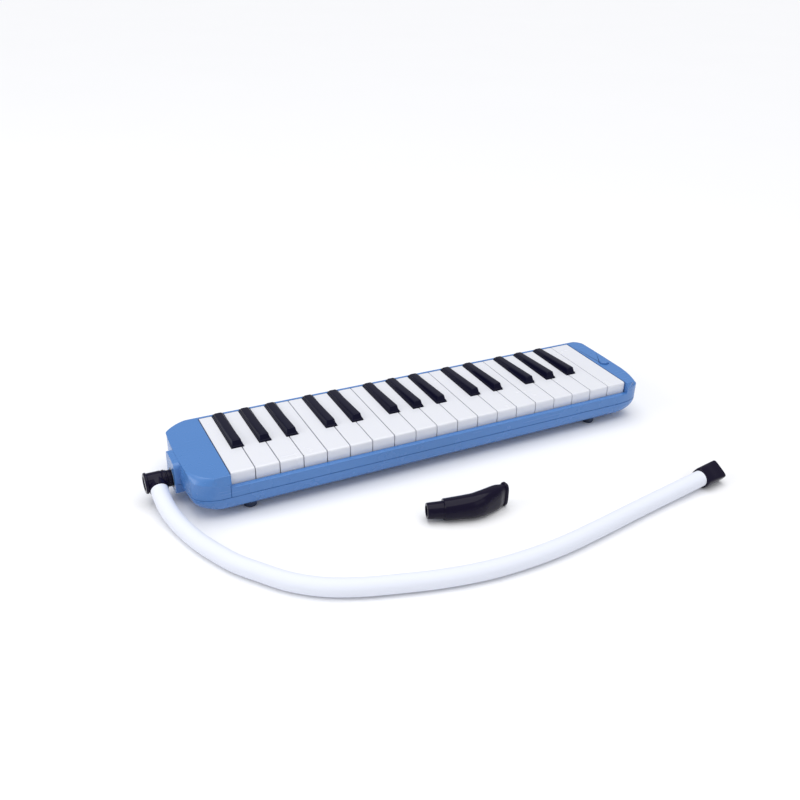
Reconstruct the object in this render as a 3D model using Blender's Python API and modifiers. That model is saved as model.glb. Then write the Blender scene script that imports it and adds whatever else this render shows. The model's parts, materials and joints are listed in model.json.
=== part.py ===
"""Melodica with 32 keys, its blowing hose and a short mouthpiece.

The instrument lies on its four feet. +X runs from the blowing end to the treble end, +Y from the
player to the back, +Z up. The floor is z = 0 and the origin is the bottom centre of the box round
the instrument and the short mouthpiece that lies in front of it. All sizes are in metres.
"""
import math

import bmesh
import bpy
from mathutils import Matrix, Vector

MM = 0.001
MERGE = 0.00002
GAP = 0.3 * MM

# ---- keyboard ---------------------
NATURALS = "FGABCDEFGABCDEFGABC"
SHARP_SHIFT = {"F": -0.16, "G": 0.0, "A": 0.16, "C": -0.10, "D": 0.10}
PITCH = 19.0 * MM
KEY_GAP = 0.5 * MM
KEY_TOP = 36.0 * MM
KEY_PLATE = 3.0 * MM
KEY_LIP = 10.8 * MM
KEY_LIP_WALL = 2.4 * MM
KEY_NOSE_RADIUS = 1.7 * MM
SHARP_LENGTH = 54.3 * MM
SHARP_WIDTH = 9.2 * MM
SHARP_TOP_WIDTH = 6.4 * MM
SHARP_SLOPE = 2.2 * MM
SHARP_RISE_FRONT = 5.5 * MM
SHARP_RISE_REAR = 2.2 * MM

# ---- key levers, pivot and springs --
PIVOT_FROM_TAIL = 20.8 * MM
PIVOT_DROP = 7.5 * MM
PIVOT_BOSS_WALL = 1.5 * MM
ROD_RADIUS = 1.5 * MM
ROD_OVERRUN = 12.0 * MM
RIB_WIDTH = 5.0 * MM
RIB_REACH = 30.0 * MM
RIB_NOSE_DROP = 2.2 * MM
PAD_LENGTH = 9.0 * MM
PAD_FROM_TAIL = 6.3 * MM
BRACKET_WIDTH = 2.4 * MM
BRACKET_FOOT = 5.0 * MM
BRACKET_HEAD = 2.8 * MM
BRACKET_CLEARANCE = 0.5 * MM
SPRING_STRIP_REACH = 28.0 * MM
SPRING_STRIP_DEPTH = 5.0 * MM
SPRING_REACH = 11.0 * MM
SPRING_WIDTH = 2.6 * MM
SPRING_THICKNESS = 0.5 * MM
SPRING_LIFT = 4.6 * MM

# ---- body -----------------------------
FRONT_LEDGE = 5.0 * MM
BODY_DEPTH = 95.0 * MM
REAR_RAIL = 3.2 * MM
LEFT_CAP = 30.5 * MM
RIGHT_CAP = 15.4 * MM
BODY_BOTTOM = 6.0 * MM
PARTING = 18.4 * MM
LEDGE_DROP = 9.5 * MM
WALL = 2.3 * MM
RAIL_SETBACK = 0.5 * MM
END_BULGE = 1.6 * MM
CORNER_LOW_LEFT = (11.0 * MM, 11.0 * MM)
CORNER_TOP_LEFT = (19.0 * MM, 12.5 * MM)
CORNER_LOW_RIGHT = (9.0 * MM, 12.0 * MM)
CORNER_TOP_RIGHT = (9.0 * MM, 11.0 * MM)

# ---- wind way ---------------------------
DECK_THICKNESS = 2.0 * MM
DECK_TOP = 20.4 * MM
TONE_HOLE = (3.2 * MM, 7.0 * MM)
FELT_THICKNESS = 0.7 * MM
FELT_DEPTH = 5.0 * MM
CHEST_FRONT = 24.0 * MM
CHEST_WALL = 2.0 * MM
CHEST_SETBACK = 3.0 * MM
CHEST_END = 2.0 * MM
PORT_HALF_WIDTH = 8.0 * MM
DUCT_WALL = 1.5 * MM
GASKET_THICKNESS = 0.8 * MM
REED_THICKNESS = 1.2 * MM
REED_DEPTH = 11.0 * MM
REED_SLOT = (2.2 * MM, 7.0 * MM)

# ---- blowing end --------------------------
INLET_SETBACK = 40.0 * MM
INLET_Z = 17.5 * MM
BOSS_REACH = 4.0 * MM
BOSS_WIDTH = 25.0 * MM
BOSS_TOP_DROP = 1.4 * MM
BOSS_BOTTOM = 9.0 * MM
BOSS_CORNER = 3.0 * MM
SPIGOT_RADIUS = 6.0 * MM
SPIGOT_CLEARANCE = 0.6 * MM
SOCKET_WALL = 0.9 * MM
SOCKET_LENGTH = 17.0 * MM
SPIGOT_LENGTH = 13.0 * MM
AIRWAY_RADIUS = 3.2 * MM
NECK_RADIUS = 6.4 * MM
NECK_LENGTH = 4.4 * MM
BARREL_RADIUS = 7.4 * MM
BARREL_LENGTH = 13.6 * MM
RIM_RADIUS = 8.1 * MM
RIM_LENGTH = 2.2 * MM
OUTLET_TILT = math.radians(13.0)
OUTLET_RADIUS = 7.0 * MM
OUTLET_LENGTH = 9.4 * MM

# ---- drain button ---------------------------
BUTTON_SETBACK = 40.0 * MM
BUTTON_RADIUS = 4.2 * MM
BUTTON_RISE = 1.8 * MM
BUTTON_STEM_RADIUS = 1.5 * MM
BUTTON_SKIRT = 2.4 * MM
SHELF_THICKNESS = 1.5 * MM
SHELF_DROP = 10.0 * MM
SHELF_HALF = 6.5 * MM
SPRING_COIL_RADIUS = 2.8 * MM
SPRING_WIRE_RADIUS = 0.35 * MM
SPRING_TURNS = 4
DRAIN_RADIUS = 3.4 * MM
DRAIN_DEPTH = 1.0 * MM

# ---- feet and screws --------------------------
FOOT_RADIUS = 5.0 * MM
FOOT_SPAN = 315.0 * MM
FOOT_INSET = 12.0 * MM
SCREW_RADIUS = 1.3 * MM
SCREW_HEAD_RADIUS = 2.5 * MM
SCREW_HEAD_HEIGHT = 1.7 * MM
SCREW_LENGTH = 16.0 * MM
SCREW_BOSS_RADIUS = 3.1 * MM
SCREW_INSET = 22.0 * MM
LEFT_SCREW_INSET = 14.0 * MM

# ---- hose and mouthpieces -----------------------
HOSE_RADIUS = 6.5 * MM
HOSE_SAMPLES = 22
# Centre line of the hose behind the elbow, as (x, y, height) in millimetres from the bass end of
# the keyboard, the key fronts and the floor.
HOSE_ROUTE = (
    (-45.4, 14.0, 11.4),
    (-43.6, 4.0, 9.0),
    (-41.0, -6.0, 7.2),
    (-37.6, -18.0, 6.6),
    (-33.4, -31.0, 6.6),
    (-26.4, -47.0, 6.6),
    (-17.5, -64.0, 6.6),
    (-5.0, -80.5, 6.6),
    (9.0, -97.0, 6.6),
    (28.0, -111.5, 6.6),
    (50.0, -121.5, 6.6),
    (74.2, -129.0, 6.6),
    (103.0, -136.5, 6.6),
    (135.0, -141.5, 6.6),
    (165.0, -142.5, 6.6),
    (196.0, -140.6, 6.6),
    (233.0, -135.0, 6.6),
    (270.0, -128.3, 6.6),
    (305.0, -122.6, 7.0),
    (328.0, -119.6, 8.0),
    (346.3, -116.8, 8.3),
)
# Sections of a mouthpiece from its round end: distance along it, sideways shift, half width, half
# height, height of the centre, all in millimetres, and the turn of the section in degrees.
LIP_PIECE_ROLL = math.radians(32.0)
LIP_PIECE_SECTIONS = (
    (0.0, 0.0, 7.2, 6.0, 0.0, 0.0),
    (0.8, 0.0, 7.8, 6.2, 0.0, 0.0),
    (6.0, 0.0, 7.9, 6.1, 0.0, 0.0),
    (15.0, 0.0, 8.0, 4.9, 0.0, 0.0),
    (21.6, 0.0, 8.0, 4.4, 0.0, 0.0),
    (22.3, 0.0, 7.6, 4.0, 0.0, 0.0),
)
LIP_SLOT_LOW = (12.0 * MM, -5.4 * MM, -1.1 * MM)
LIP_SLOT_HIGH = (24.0 * MM, 5.4 * MM, 1.1 * MM)
SHORT_PIECE_START = (127.1, -66.4)
SHORT_PIECE_TURN = math.radians(-16.0)
SHORT_PIECE_SECTIONS = (
    (0.0, 0.0, 5.6, 5.6, 8.5, 0.0),
    (0.8, 0.0, 6.0, 6.0, 8.5, 0.0),
    (12.5, 0.0, 6.8, 6.8, 8.5, 0.0),
    (12.8, 0.0, 8.2, 8.2, 8.6, 0.0),
    (25.0, 0.0, 8.6, 8.9, 9.2, 0.0),
    (34.0, -0.1, 8.5, 9.5, 9.8, 3.0),
    (41.0, 1.2, 8.0, 9.9, 10.2, 13.0),
    (46.0, 3.2, 7.2, 10.0, 10.3, 20.0),
    (55.0, 7.5, 5.9, 9.8, 10.3, 24.0),
    (61.2, 10.3, 4.6, 9.2, 10.3, 24.0),
    (61.6, 10.5, 5.4, 9.9, 10.3, 24.0),
    (63.6, 11.4, 5.4, 9.9, 10.3, 24.0),
)
SHORT_BORE = (3.4 * MM, 28.0 * MM)

# ---- derived places ----------------------------
KEYBED_LENGTH = PITCH * len(NATURALS)
LEFT_EDGE = LEFT_CAP + BOSS_REACH
BODY_LENGTH = LEFT_EDGE + KEYBED_LENGTH + RIGHT_CAP
KEYS_X = LEFT_EDGE - BODY_LENGTH / 2
REAR_Y = 87.3 * MM
FRONT_Y = REAR_Y - BODY_DEPTH
KEYS_Y = FRONT_Y + FRONT_LEDGE
KEYS_REAR = REAR_Y - REAR_RAIL
SHARP_FRONT_Y = KEYS_REAR - SHARP_LENGTH
PIVOT_Y = KEYS_REAR - PIVOT_FROM_TAIL
PIVOT_Z = KEY_TOP - PIVOT_DROP
RIB_FRONT_Y = PIVOT_Y - RIB_REACH
PAD_REAR_Y = KEYS_REAR - PAD_FROM_TAIL
PAD_FRONT_Y = PAD_REAR_Y - PAD_LENGTH
TONE_HOLE_Y = (PAD_FRONT_Y + PAD_REAR_Y) / 2
LEFT_X = KEYS_X - LEFT_CAP
RIGHT_X = KEYS_X + KEYBED_LENGTH + RIGHT_CAP
LEDGE_Z = KEY_TOP - LEDGE_DROP
DECK_BOTTOM = DECK_TOP - DECK_THICKNESS
INLET_Y = KEYS_Y + INLET_SETBACK
BOSS_TOP = KEY_TOP - BOSS_TOP_DROP
SOCKET_BORE = SPIGOT_RADIUS + SPIGOT_CLEARANCE
SOCKET_RADIUS = SOCKET_BORE + SOCKET_WALL
SHELF_Z = KEY_TOP - SHELF_DROP
BOSS_X = LEFT_X - BOSS_REACH
ELBOW_AXIS_X = BOSS_X - GAP - NECK_LENGTH - BARREL_LENGTH / 2
BUTTON_X = KEYS_X + KEYBED_LENGTH + RIGHT_CAP / 2
BUTTON_Y = KEYS_Y + BUTTON_SETBACK
WINDOW_LEFT = KEYS_X - RAIL_SETBACK
WINDOW_RIGHT = KEYS_X + KEYBED_LENGTH + RAIL_SETBACK
SCREW_XS = (KEYS_X - LEFT_SCREW_INSET, BUTTON_X)
SCREW_YS = (FRONT_Y + SCREW_INSET, REAR_Y - SCREW_INSET)
NOTCH_HALF = SHARP_WIDTH / 2 + KEY_GAP

PARTS = bpy.data.collections.new("melodica")
CUTTERS = bpy.data.collections.new("cutters")


# ---- scene and material helpers -----------------
def clear_scene():
    for item in list(bpy.data.objects):
        bpy.data.objects.remove(item, do_unlink=True)
    for collection in (PARTS, CUTTERS):
        bpy.context.scene.collection.children.link(collection)


def material(name, colour, roughness, metallic=0.0):
    made = bpy.data.materials.new(name)
    made.use_nodes = True
    shader = made.node_tree.nodes["Principled BSDF"]
    shader.inputs["Base Color"].default_value = (*colour, 1.0)
    shader.inputs["Roughness"].default_value = roughness
    shader.inputs["Metallic"].default_value = metallic
    return made


def add_part(name, mesh, finish):
    part = bpy.data.objects.new(name, mesh)
    PARTS.objects.link(part)
    part.data.materials.clear()
    part.data.materials.append(finish)
    mesh.set_sharp_from_angle(angle=math.radians(35.0))
    mesh.shade_smooth()
    return part


def add_cutter(name, mesh):
    cutter = bpy.data.objects.new(name, mesh)
    CUTTERS.objects.link(cutter)
    cutter.hide_render = True
    cutter.display_type = "WIRE"
    return cutter


def boolean(part, cutter, operation="DIFFERENCE"):
    cut = part.modifiers.new(operation.lower(), "BOOLEAN")
    cut.operation = operation
    cut.solver = "EXACT"
    cut.object = cutter


def mesh_from(name, build):
    """Mesh filled by a function that is handed an empty bmesh."""
    mesh = bpy.data.meshes.new(name)
    shape = bmesh.new()
    build(shape)
    bmesh.ops.recalc_face_normals(shape, faces=shape.faces)
    shape.to_mesh(mesh)
    shape.free()
    return mesh


# ---- shape helpers --------------------------------
def add_box(shape, low, high):
    size = [b - a for a, b in zip(low, high)]
    centre = [(a + b) / 2 for a, b in zip(low, high)]
    place = Matrix.Translation(centre) @ Matrix.Diagonal((*size, 1.0))
    return bmesh.ops.create_cube(shape, size=1.0, matrix=place)["verts"]


def box_mesh(name, *corner_pairs):
    def build(shape):
        for low, high in corner_pairs:
            add_box(shape, low, high)
    return mesh_from(name, build)


def cylinder_mesh(name, start, end, radius, segments=20):
    start, end = Vector(start), Vector(end)
    along = end - start
    turn = along.to_track_quat("Z", "Y").to_matrix().to_4x4()
    place = Matrix.Translation((start + end) / 2) @ turn

    def build(shape):
        bmesh.ops.create_cone(shape, cap_ends=True, segments=segments, radius1=radius,
                              radius2=radius, depth=along.length, matrix=place)
    return mesh_from(name, build)


def prism_mesh(name, outline, low, high, axis="Z"):
    """Flat closed outline extruded along one axis; the outline gives the other two coordinates."""
    curve = bpy.data.curves.new(name, "CURVE")
    curve.dimensions = "2D"
    curve.fill_mode = "BOTH"
    curve.extrude = (high - low) / 2
    spline = curve.splines.new("POLY")
    spline.points.add(len(outline) - 1)
    for point, (u, v) in zip(spline.points, outline):
        point.co = (u, v, 0.0, 1.0)
    spline.use_cyclic_u = True
    guide = bpy.data.objects.new(name, curve)
    CUTTERS.objects.link(guide)
    graph = bpy.context.evaluated_depsgraph_get()
    mesh = bpy.data.meshes.new_from_object(guide.evaluated_get(graph))
    bpy.data.objects.remove(guide, do_unlink=True)
    lift = Matrix.Translation((0.0, 0.0, (low + high) / 2))
    if axis == "X":
        lift = Matrix(((0, 0, 1, 0), (1, 0, 0, 0), (0, 1, 0, 0), (0, 0, 0, 1))) @ lift
    mesh.transform(lift)
    shape = bmesh.new()
    shape.from_mesh(mesh)
    bmesh.ops.remove_doubles(shape, verts=shape.verts, dist=MERGE)
    bmesh.ops.recalc_face_normals(shape, faces=shape.faces)
    shape.to_mesh(mesh)
    shape.free()
    return mesh


def loft_mesh(name, rings):
    """Closed skin through rings of equally many points, with flat ends."""
    def build(shape):
        loops = [[shape.verts.new(point) for point in ring] for ring in rings]
        count = len(loops[0])
        for lower, upper in zip(loops, loops[1:]):
            for i in range(count):
                j = (i + 1) % count
                shape.faces.new((lower[i], lower[j], upper[j], upper[i]))
        shape.faces.new(list(reversed(loops[0])))
        shape.faces.new(loops[-1])
    return mesh_from(name, build)


def turned_part(name, profile, finish, place, steps=20):
    """Solid of revolution about local Z from (radius, height) points, top to bottom."""
    mesh = bpy.data.meshes.new(name)
    shape = bmesh.new()
    points = [shape.verts.new((radius, 0.0, height)) for radius, height in profile]
    for a, b in zip(points, points[1:]):
        shape.edges.new((a, b))
    shape.to_mesh(mesh)
    shape.free()
    part = add_part(name, mesh, finish)
    part.matrix_world = place
    screw = part.modifiers.new("turn", "SCREW")
    screw.axis = "Z"
    screw.steps = steps
    screw.render_steps = steps
    screw.use_merge_vertices = True
    screw.merge_threshold = MERGE
    return part


def corner_points(centre, radii, first_angle, steps):
    """Quarter ellipse, counter-clockwise from first_angle in quarter turns."""
    points = []
    for i in range(steps + 1):
        angle = (first_angle + i / steps) * math.pi / 2
        points.append((centre[0] + radii[0] * math.cos(angle),
                       centre[1] + radii[1] * math.sin(angle)))
    return points


def plan_outline(inset, left_corner, right_corner, front_inset=0.0, bulge=END_BULGE, steps=4):
    """Body outline seen from above: long straight sides, bulged ends and elliptic corners."""
    left, right = LEFT_X + inset, RIGHT_X - inset
    front, rear = FRONT_Y + inset + front_inset, REAR_Y - inset
    (lx, ly), (rx, ry) = [(max(a - inset, WALL), max(b - inset, WALL))
                          for a, b in (left_corner, right_corner)]
    points = corner_points((right - rx, rear - ry), (rx, ry), 0, steps)
    points += corner_points((left + lx, rear - ly), (lx, ly), 1, steps)
    points += corner_points((left + lx, front + ly), (lx, ly), 2, steps)
    points += corner_points((right - rx, front + ry), (rx, ry), 3, steps)
    middle, half = (front + rear) / 2, (rear - front) / 2
    bulged = []
    for x, y in points:
        swell = bulge * ((y - middle) / half) ** 2
        near_left = x < left + lx
        near_right = x > right - rx
        bulged.append((x + swell * near_left - swell * near_right, y))
    return bulged


def ring_at(outline, z):
    return [(x, y, z) for x, y in outline]


def rod_clearance():
    low = (KEYS_X - ROD_OVERRUN, PIVOT_Y, PIVOT_Z)
    high = (KEYS_X + KEYBED_LENGTH + ROD_OVERRUN, PIVOT_Y, PIVOT_Z)
    return add_cutter("rod_clearance", cylinder_mesh("rod_clearance", low, high, ROD_RADIUS + GAP, 16))


# ---- keys -----------------------------------------
def sharp_centres():
    """X of each black key, in order."""
    pairs = enumerate(zip(NATURALS, NATURALS[1:]), start=1)
    return [KEYS_X + (i + SHARP_SHIFT[name]) * PITCH for i, (name, _) in pairs
            if name in SHARP_SHIFT]


def white_tail(index):
    """Edges of a white key's tail beside the black keys, and the black keys that notch it."""
    left = KEYS_X + index * PITCH
    right = left + PITCH
    notches = [x for x in sharp_centres() if left - NOTCH_HALF < x < right + NOTCH_HALF]
    low = max([left + KEY_GAP / 2] + [x + NOTCH_HALF for x in notches if x < left + PITCH / 2])
    high = min([right - KEY_GAP / 2] + [x - NOTCH_HALF for x in notches if x > left + PITCH / 2])
    return low, high, notches


def rib_centres():
    """X of every key's rib, white and black."""
    centres = sharp_centres()
    for index in range(len(NATURALS)):
        low, high, _ = white_tail(index)
        centres.append((low + high) / 2)
    return sorted(centres)


def rib_outline(top):
    """Side view of a key's lever rib, with the pivot boss and the valve pad behind it."""
    pad_bottom = DECK_TOP + GAP
    boss = ROD_RADIUS + PIVOT_BOSS_WALL
    return [(RIB_FRONT_Y, top),
            (RIB_FRONT_Y, top - RIB_NOSE_DROP),
            (PIVOT_Y - 2 * boss, PIVOT_Z - boss),
            (PIVOT_Y + boss, PIVOT_Z - boss),
            (PAD_FRONT_Y, pad_bottom),
            (PAD_REAR_Y, pad_bottom),
            (PAD_REAR_Y, top)]


def key_rib(name, x, top):
    mesh = prism_mesh(name, rib_outline(top), x - RIB_WIDTH / 2, x + RIB_WIDTH / 2, "X")
    return add_cutter(name, mesh)


def on_pivot(part):
    """Moves the object's origin onto the pivot axis, leaving the shape where it is."""
    origin = Vector((0.0, PIVOT_Y, PIVOT_Z))
    part.data.transform(Matrix.Translation(-origin))
    part.location = origin


def white_key_outline():
    nose = [(KEYS_Y + KEY_NOSE_RADIUS - KEY_NOSE_RADIUS * math.sin(i * math.pi / 6),
             KEY_TOP - KEY_NOSE_RADIUS + KEY_NOSE_RADIUS * math.cos(i * math.pi / 6))
            for i in range(4)]
    return nose + [(KEYS_Y, KEY_TOP - KEY_LIP),
                   (KEYS_Y + KEY_LIP_WALL, KEY_TOP - KEY_LIP),
                   (KEYS_Y + KEY_LIP_WALL, KEY_TOP - KEY_PLATE),
                   (KEYS_REAR, KEY_TOP - KEY_PLATE),
                   (KEYS_REAR, KEY_TOP)]


def build_white_keys(finish, rod_hole):
    outline = white_key_outline()
    notch_low = SHARP_FRONT_Y - KEY_GAP
    for index in range(len(NATURALS)):
        left = KEYS_X + index * PITCH
        low, high = left + KEY_GAP / 2, left + PITCH - KEY_GAP / 2
        name = f"white_key_{index + 1:02d}"
        key = add_part(name, prism_mesh(name, outline, low, high, "X"), finish)
        tail_low, tail_high, notches = white_tail(index)
        for x in notches:
            cut = box_mesh("notch", ((x - NOTCH_HALF, notch_low, KEY_TOP - 2 * KEY_PLATE),
                                     (x + NOTCH_HALF, KEYS_REAR + PITCH, KEY_TOP + KEY_PLATE)))
            boolean(key, add_cutter(f"{name}_notch", cut))
        rib = key_rib(f"{name}_rib", (tail_low + tail_high) / 2, KEY_TOP - KEY_PLATE / 2)
        boolean(key, rib, "UNION")
        boolean(key, rod_hole)


def build_black_keys(finish, rod_hole):
    front, rear = SHARP_FRONT_Y, KEYS_REAR
    skirt = KEY_TOP - KEY_PLATE
    for index, x in enumerate(sharp_centres(), start=1):
        def build(shape, x=x):
            add_box(shape, (x - SHARP_WIDTH / 2, front, KEY_TOP),
                    (x + SHARP_WIDTH / 2, rear, KEY_TOP + SHARP_RISE_FRONT))
            for vertex in shape.verts:
                if vertex.co.z < KEY_TOP + SHARP_RISE_FRONT / 2:
                    continue
                vertex.co.x = x + math.copysign(SHARP_TOP_WIDTH / 2, vertex.co.x - x)
                if vertex.co.y < (front + rear) / 2:
                    vertex.co.y = front + SHARP_SLOPE
                else:
                    vertex.co.z = KEY_TOP + SHARP_RISE_REAR
            base = [face for face in shape.faces if face.calc_center_median().z <= KEY_TOP + MERGE]
            grown = bmesh.ops.extrude_face_region(shape, geom=base)["geom"]
            for vertex in [item for item in grown if isinstance(item, bmesh.types.BMVert)]:
                vertex.co.z = skirt
            bmesh.ops.delete(shape, geom=base, context="FACES_ONLY")
        name = f"black_key_{index:02d}"
        key = add_part(name, mesh_from(name, build), finish)
        boolean(key, key_rib(f"{name}_rib", x, skirt + KEY_PLATE / 2), "UNION")
        boolean(key, rod_hole)


# ---- case -------------------------------------------
def upper_case_skin():
    low = plan_outline(0.0, CORNER_LOW_LEFT, CORNER_LOW_RIGHT)
    top_edge = plan_outline(0.3 * MM, CORNER_TOP_LEFT, CORNER_TOP_RIGHT, 1.4 * MM)
    top = plan_outline(0.8 * MM, CORNER_TOP_LEFT, CORNER_TOP_RIGHT, 1.4 * MM)
    return loft_mesh("upper_case", [ring_at(low, PARTING), ring_at(low, LEDGE_Z),
                                    ring_at(top_edge, KEY_TOP - 0.9 * MM), ring_at(top, KEY_TOP)])


def boss_outline(low, high, round_top):
    """End view of the blowing boss, rounded where it doesn't meet the other half."""
    half = BOSS_WIDTH / 2
    radii = (BOSS_CORNER, BOSS_CORNER)
    if round_top:
        rounded = corner_points((INLET_Y + half - BOSS_CORNER, high - BOSS_CORNER), radii, 0, 3)
        rounded += corner_points((INLET_Y - half + BOSS_CORNER, high - BOSS_CORNER), radii, 1, 3)
        return rounded + [(INLET_Y - half, low), (INLET_Y + half, low)]
    rounded = corner_points((INLET_Y - half + BOSS_CORNER, low + BOSS_CORNER), radii, 2, 3)
    rounded += corner_points((INLET_Y + half - BOSS_CORNER, low + BOSS_CORNER), radii, 3, 3)
    return rounded + [(INLET_Y + half, high), (INLET_Y - half, high)]


def socket_passage():
    start = (BOSS_X - WALL, INLET_Y, INLET_Z)
    end = (BOSS_X + SOCKET_LENGTH - WALL, INLET_Y, INLET_Z)
    return add_cutter("socket_passage",
                      cylinder_mesh("socket_passage", start, end, SOCKET_RADIUS + GAP, 24))


def build_upper_case(finish, passage):
    case = add_part("upper_case", upper_case_skin(), finish)
    boss = prism_mesh("upper_boss", boss_outline(PARTING, BOSS_TOP, True),
                      BOSS_X, LEFT_X + WALL, "X")
    boolean(case, add_cutter("upper_boss", boss), "UNION")

    inner = plan_outline(WALL, CORNER_LOW_LEFT, CORNER_LOW_RIGHT)
    hollow = loft_mesh("rim_hollow", [ring_at(inner, PARTING - WALL), ring_at(inner, LEDGE_Z - WALL)])
    boolean(case, add_cutter("rim_hollow", hollow))

    cap_top = KEY_TOP - WALL
    cap_front = FRONT_Y + CORNER_TOP_LEFT[1] * 0.55
    cap_rear = REAR_Y - CORNER_TOP_LEFT[1] * 0.55
    cap_low = LEDGE_Z - 2 * WALL
    left_hollow = ((LEFT_X + 2.2 * WALL, cap_front, cap_low), (WINDOW_LEFT - WALL, cap_rear, cap_top))
    right_low = (WINDOW_RIGHT + WALL * 0.7, FRONT_Y + 3 * WALL, cap_low)
    right_high = (RIGHT_X - 1.6 * WALL, REAR_Y - 2 * WALL, cap_top)
    shelf_low, shelf_high = SHELF_Z, SHELF_Z + SHELF_THICKNESS
    shelf_front, shelf_rear = BUTTON_Y - SHELF_HALF, BUTTON_Y + SHELF_HALF
    boolean(case, add_cutter("cap_hollows", box_mesh("cap_hollows", left_hollow)))
    for name, low, high in (
            ("front", right_low, (right_high[0], shelf_front, cap_top)),
            ("rear", (right_low[0], shelf_rear, cap_low), right_high),
            ("over_shelf", (right_low[0], shelf_front - MM, shelf_high),
             (right_high[0], shelf_rear + MM, cap_top)),
            ("under_shelf", (right_low[0], shelf_front - MM, cap_low),
             (right_high[0], shelf_rear + MM, shelf_low))):
        boolean(case, add_cutter(f"cap_hollow_{name}", box_mesh(name, (low, high))))

    window = box_mesh("key_window",
                      ((WINDOW_LEFT, KEYS_Y - RAIL_SETBACK, PARTING - WALL),
                       (WINDOW_RIGHT, KEYS_REAR + RAIL_SETBACK, KEY_TOP + WALL)))
    boolean(case, add_cutter("key_window", window))
    front = box_mesh("front_cut", ((WINDOW_LEFT, FRONT_Y - WALL, LEDGE_Z),
                                   (WINDOW_RIGHT, KEYS_Y, KEY_TOP + WALL)))
    boolean(case, add_cutter("front_cut", front))

    for number, (x, y) in enumerate(screw_places(), start=1):
        post = cylinder_mesh("post", (x, y, BODY_BOTTOM + 2 * WALL), (x, y, KEY_TOP - WALL / 2),
                             SCREW_BOSS_RADIUS, 16)
        boolean(case, add_cutter(f"screw_post_{number}", post), "UNION")
        pilot = cylinder_mesh("pilot", (x, y, BODY_BOTTOM), (x, y, BODY_BOTTOM + SCREW_LENGTH + MM),
                              SCREW_RADIUS + GAP, 12)
        boolean(case, add_cutter(f"screw_pilot_{number}", pilot))

    well = cylinder_mesh("button_well", (BUTTON_X, BUTTON_Y, KEY_TOP - 2 * WALL),
                         (BUTTON_X, BUTTON_Y, KEY_TOP + WALL), BUTTON_RADIUS + GAP, 24)
    boolean(case, add_cutter("button_well", well))
    stem_hole = cylinder_mesh("stem_hole", (BUTTON_X, BUTTON_Y, SHELF_Z - WALL),
                              (BUTTON_X, BUTTON_Y, SHELF_Z + WALL), BUTTON_STEM_RADIUS + GAP, 16)
    boolean(case, add_cutter("stem_hole", stem_hole))
    boolean(case, passage)


def build_lower_case(finish, passage):
    corners = (CORNER_LOW_LEFT, CORNER_LOW_RIGHT)
    levels = ((5.0 * MM, 0.0), (2.2 * MM, 0.9 * MM), (0.9 * MM, 2.8 * MM), (0.4 * MM, 5.0 * MM))
    rings = [ring_at(plan_outline(inset, *corners), BODY_BOTTOM + rise) for inset, rise in levels]
    rings.append(ring_at(plan_outline(0.0, *corners), PARTING - GAP))
    case = add_part("lower_case", loft_mesh("lower_case", rings), finish)
    boss = prism_mesh("lower_boss", boss_outline(BOSS_BOTTOM, PARTING - GAP, False),
                      BOSS_X, LEFT_X + WALL, "X")
    boolean(case, add_cutter("lower_boss", boss), "UNION")
    floor = plan_outline(5.0 * MM, *corners)
    inner = plan_outline(WALL + 0.4 * MM, *corners)
    hollow = loft_mesh("tray_hollow", [ring_at(floor, BODY_BOTTOM + WALL - 0.2 * MM),
                                       ring_at(inner, BODY_BOTTOM + 5.0 * MM),
                                       ring_at(inner, PARTING + WALL)])
    boolean(case, add_cutter("tray_hollow", hollow))
    for number, (x, y) in enumerate(screw_places(), start=1):
        low = (x, y, BODY_BOTTOM + WALL / 2)
        ring = cylinder_mesh("ring", low, (x, y, BODY_BOTTOM + 2 * WALL - GAP), SCREW_BOSS_RADIUS, 16)
        boolean(case, add_cutter(f"screw_ring_{number}", ring), "UNION")
        seat_top = BODY_BOTTOM + SCREW_HEAD_HEIGHT + 2 * GAP
        sink = cylinder_mesh("sink", (x, y, BODY_BOTTOM - MM), (x, y, seat_top),
                             SCREW_HEAD_RADIUS + GAP, 16)
        boolean(case, add_cutter(f"screw_sink_{number}", sink))
        through = cylinder_mesh("through", (x, y, BODY_BOTTOM), (x, y, BODY_BOTTOM + 3 * WALL),
                                SCREW_RADIUS + GAP, 12)
        boolean(case, add_cutter(f"screw_through_{number}", through))
    drain = cylinder_mesh("drain", (BUTTON_X, BUTTON_Y, BODY_BOTTOM - MM),
                          (BUTTON_X, BUTTON_Y, BODY_BOTTOM + 2 * WALL), BUTTON_STEM_RADIUS + 2 * GAP, 16)
    boolean(case, add_cutter("drain", drain))
    recess = cylinder_mesh("drain_recess", (BUTTON_X, BUTTON_Y, BODY_BOTTOM - MM),
                           (BUTTON_X, BUTTON_Y, BODY_BOTTOM + DRAIN_DEPTH + GAP),
                           DRAIN_RADIUS + GAP, 20)
    boolean(case, add_cutter("drain_recess", recess))
    boolean(case, passage)


def screw_places():
    return [(x, y) for x in SCREW_XS for y in SCREW_YS]


# ---- inside ---------------------------------------
def bracket_places():
    """X of the pivot brackets: the bass end, each pair of neighbouring white keys with no black
    key between them, and the treble end."""
    bare = [i for i, name in enumerate(NATURALS[:-1], start=1) if name not in SHARP_SHIFT]
    inner = [KEYS_X + i * PITCH for i in bare]
    ribs = rib_centres()
    beside = RIB_WIDTH / 2 + BRACKET_CLEARANCE + BRACKET_WIDTH / 2
    return [ribs[0] - beside] + inner + [ribs[-1] + beside]


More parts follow.
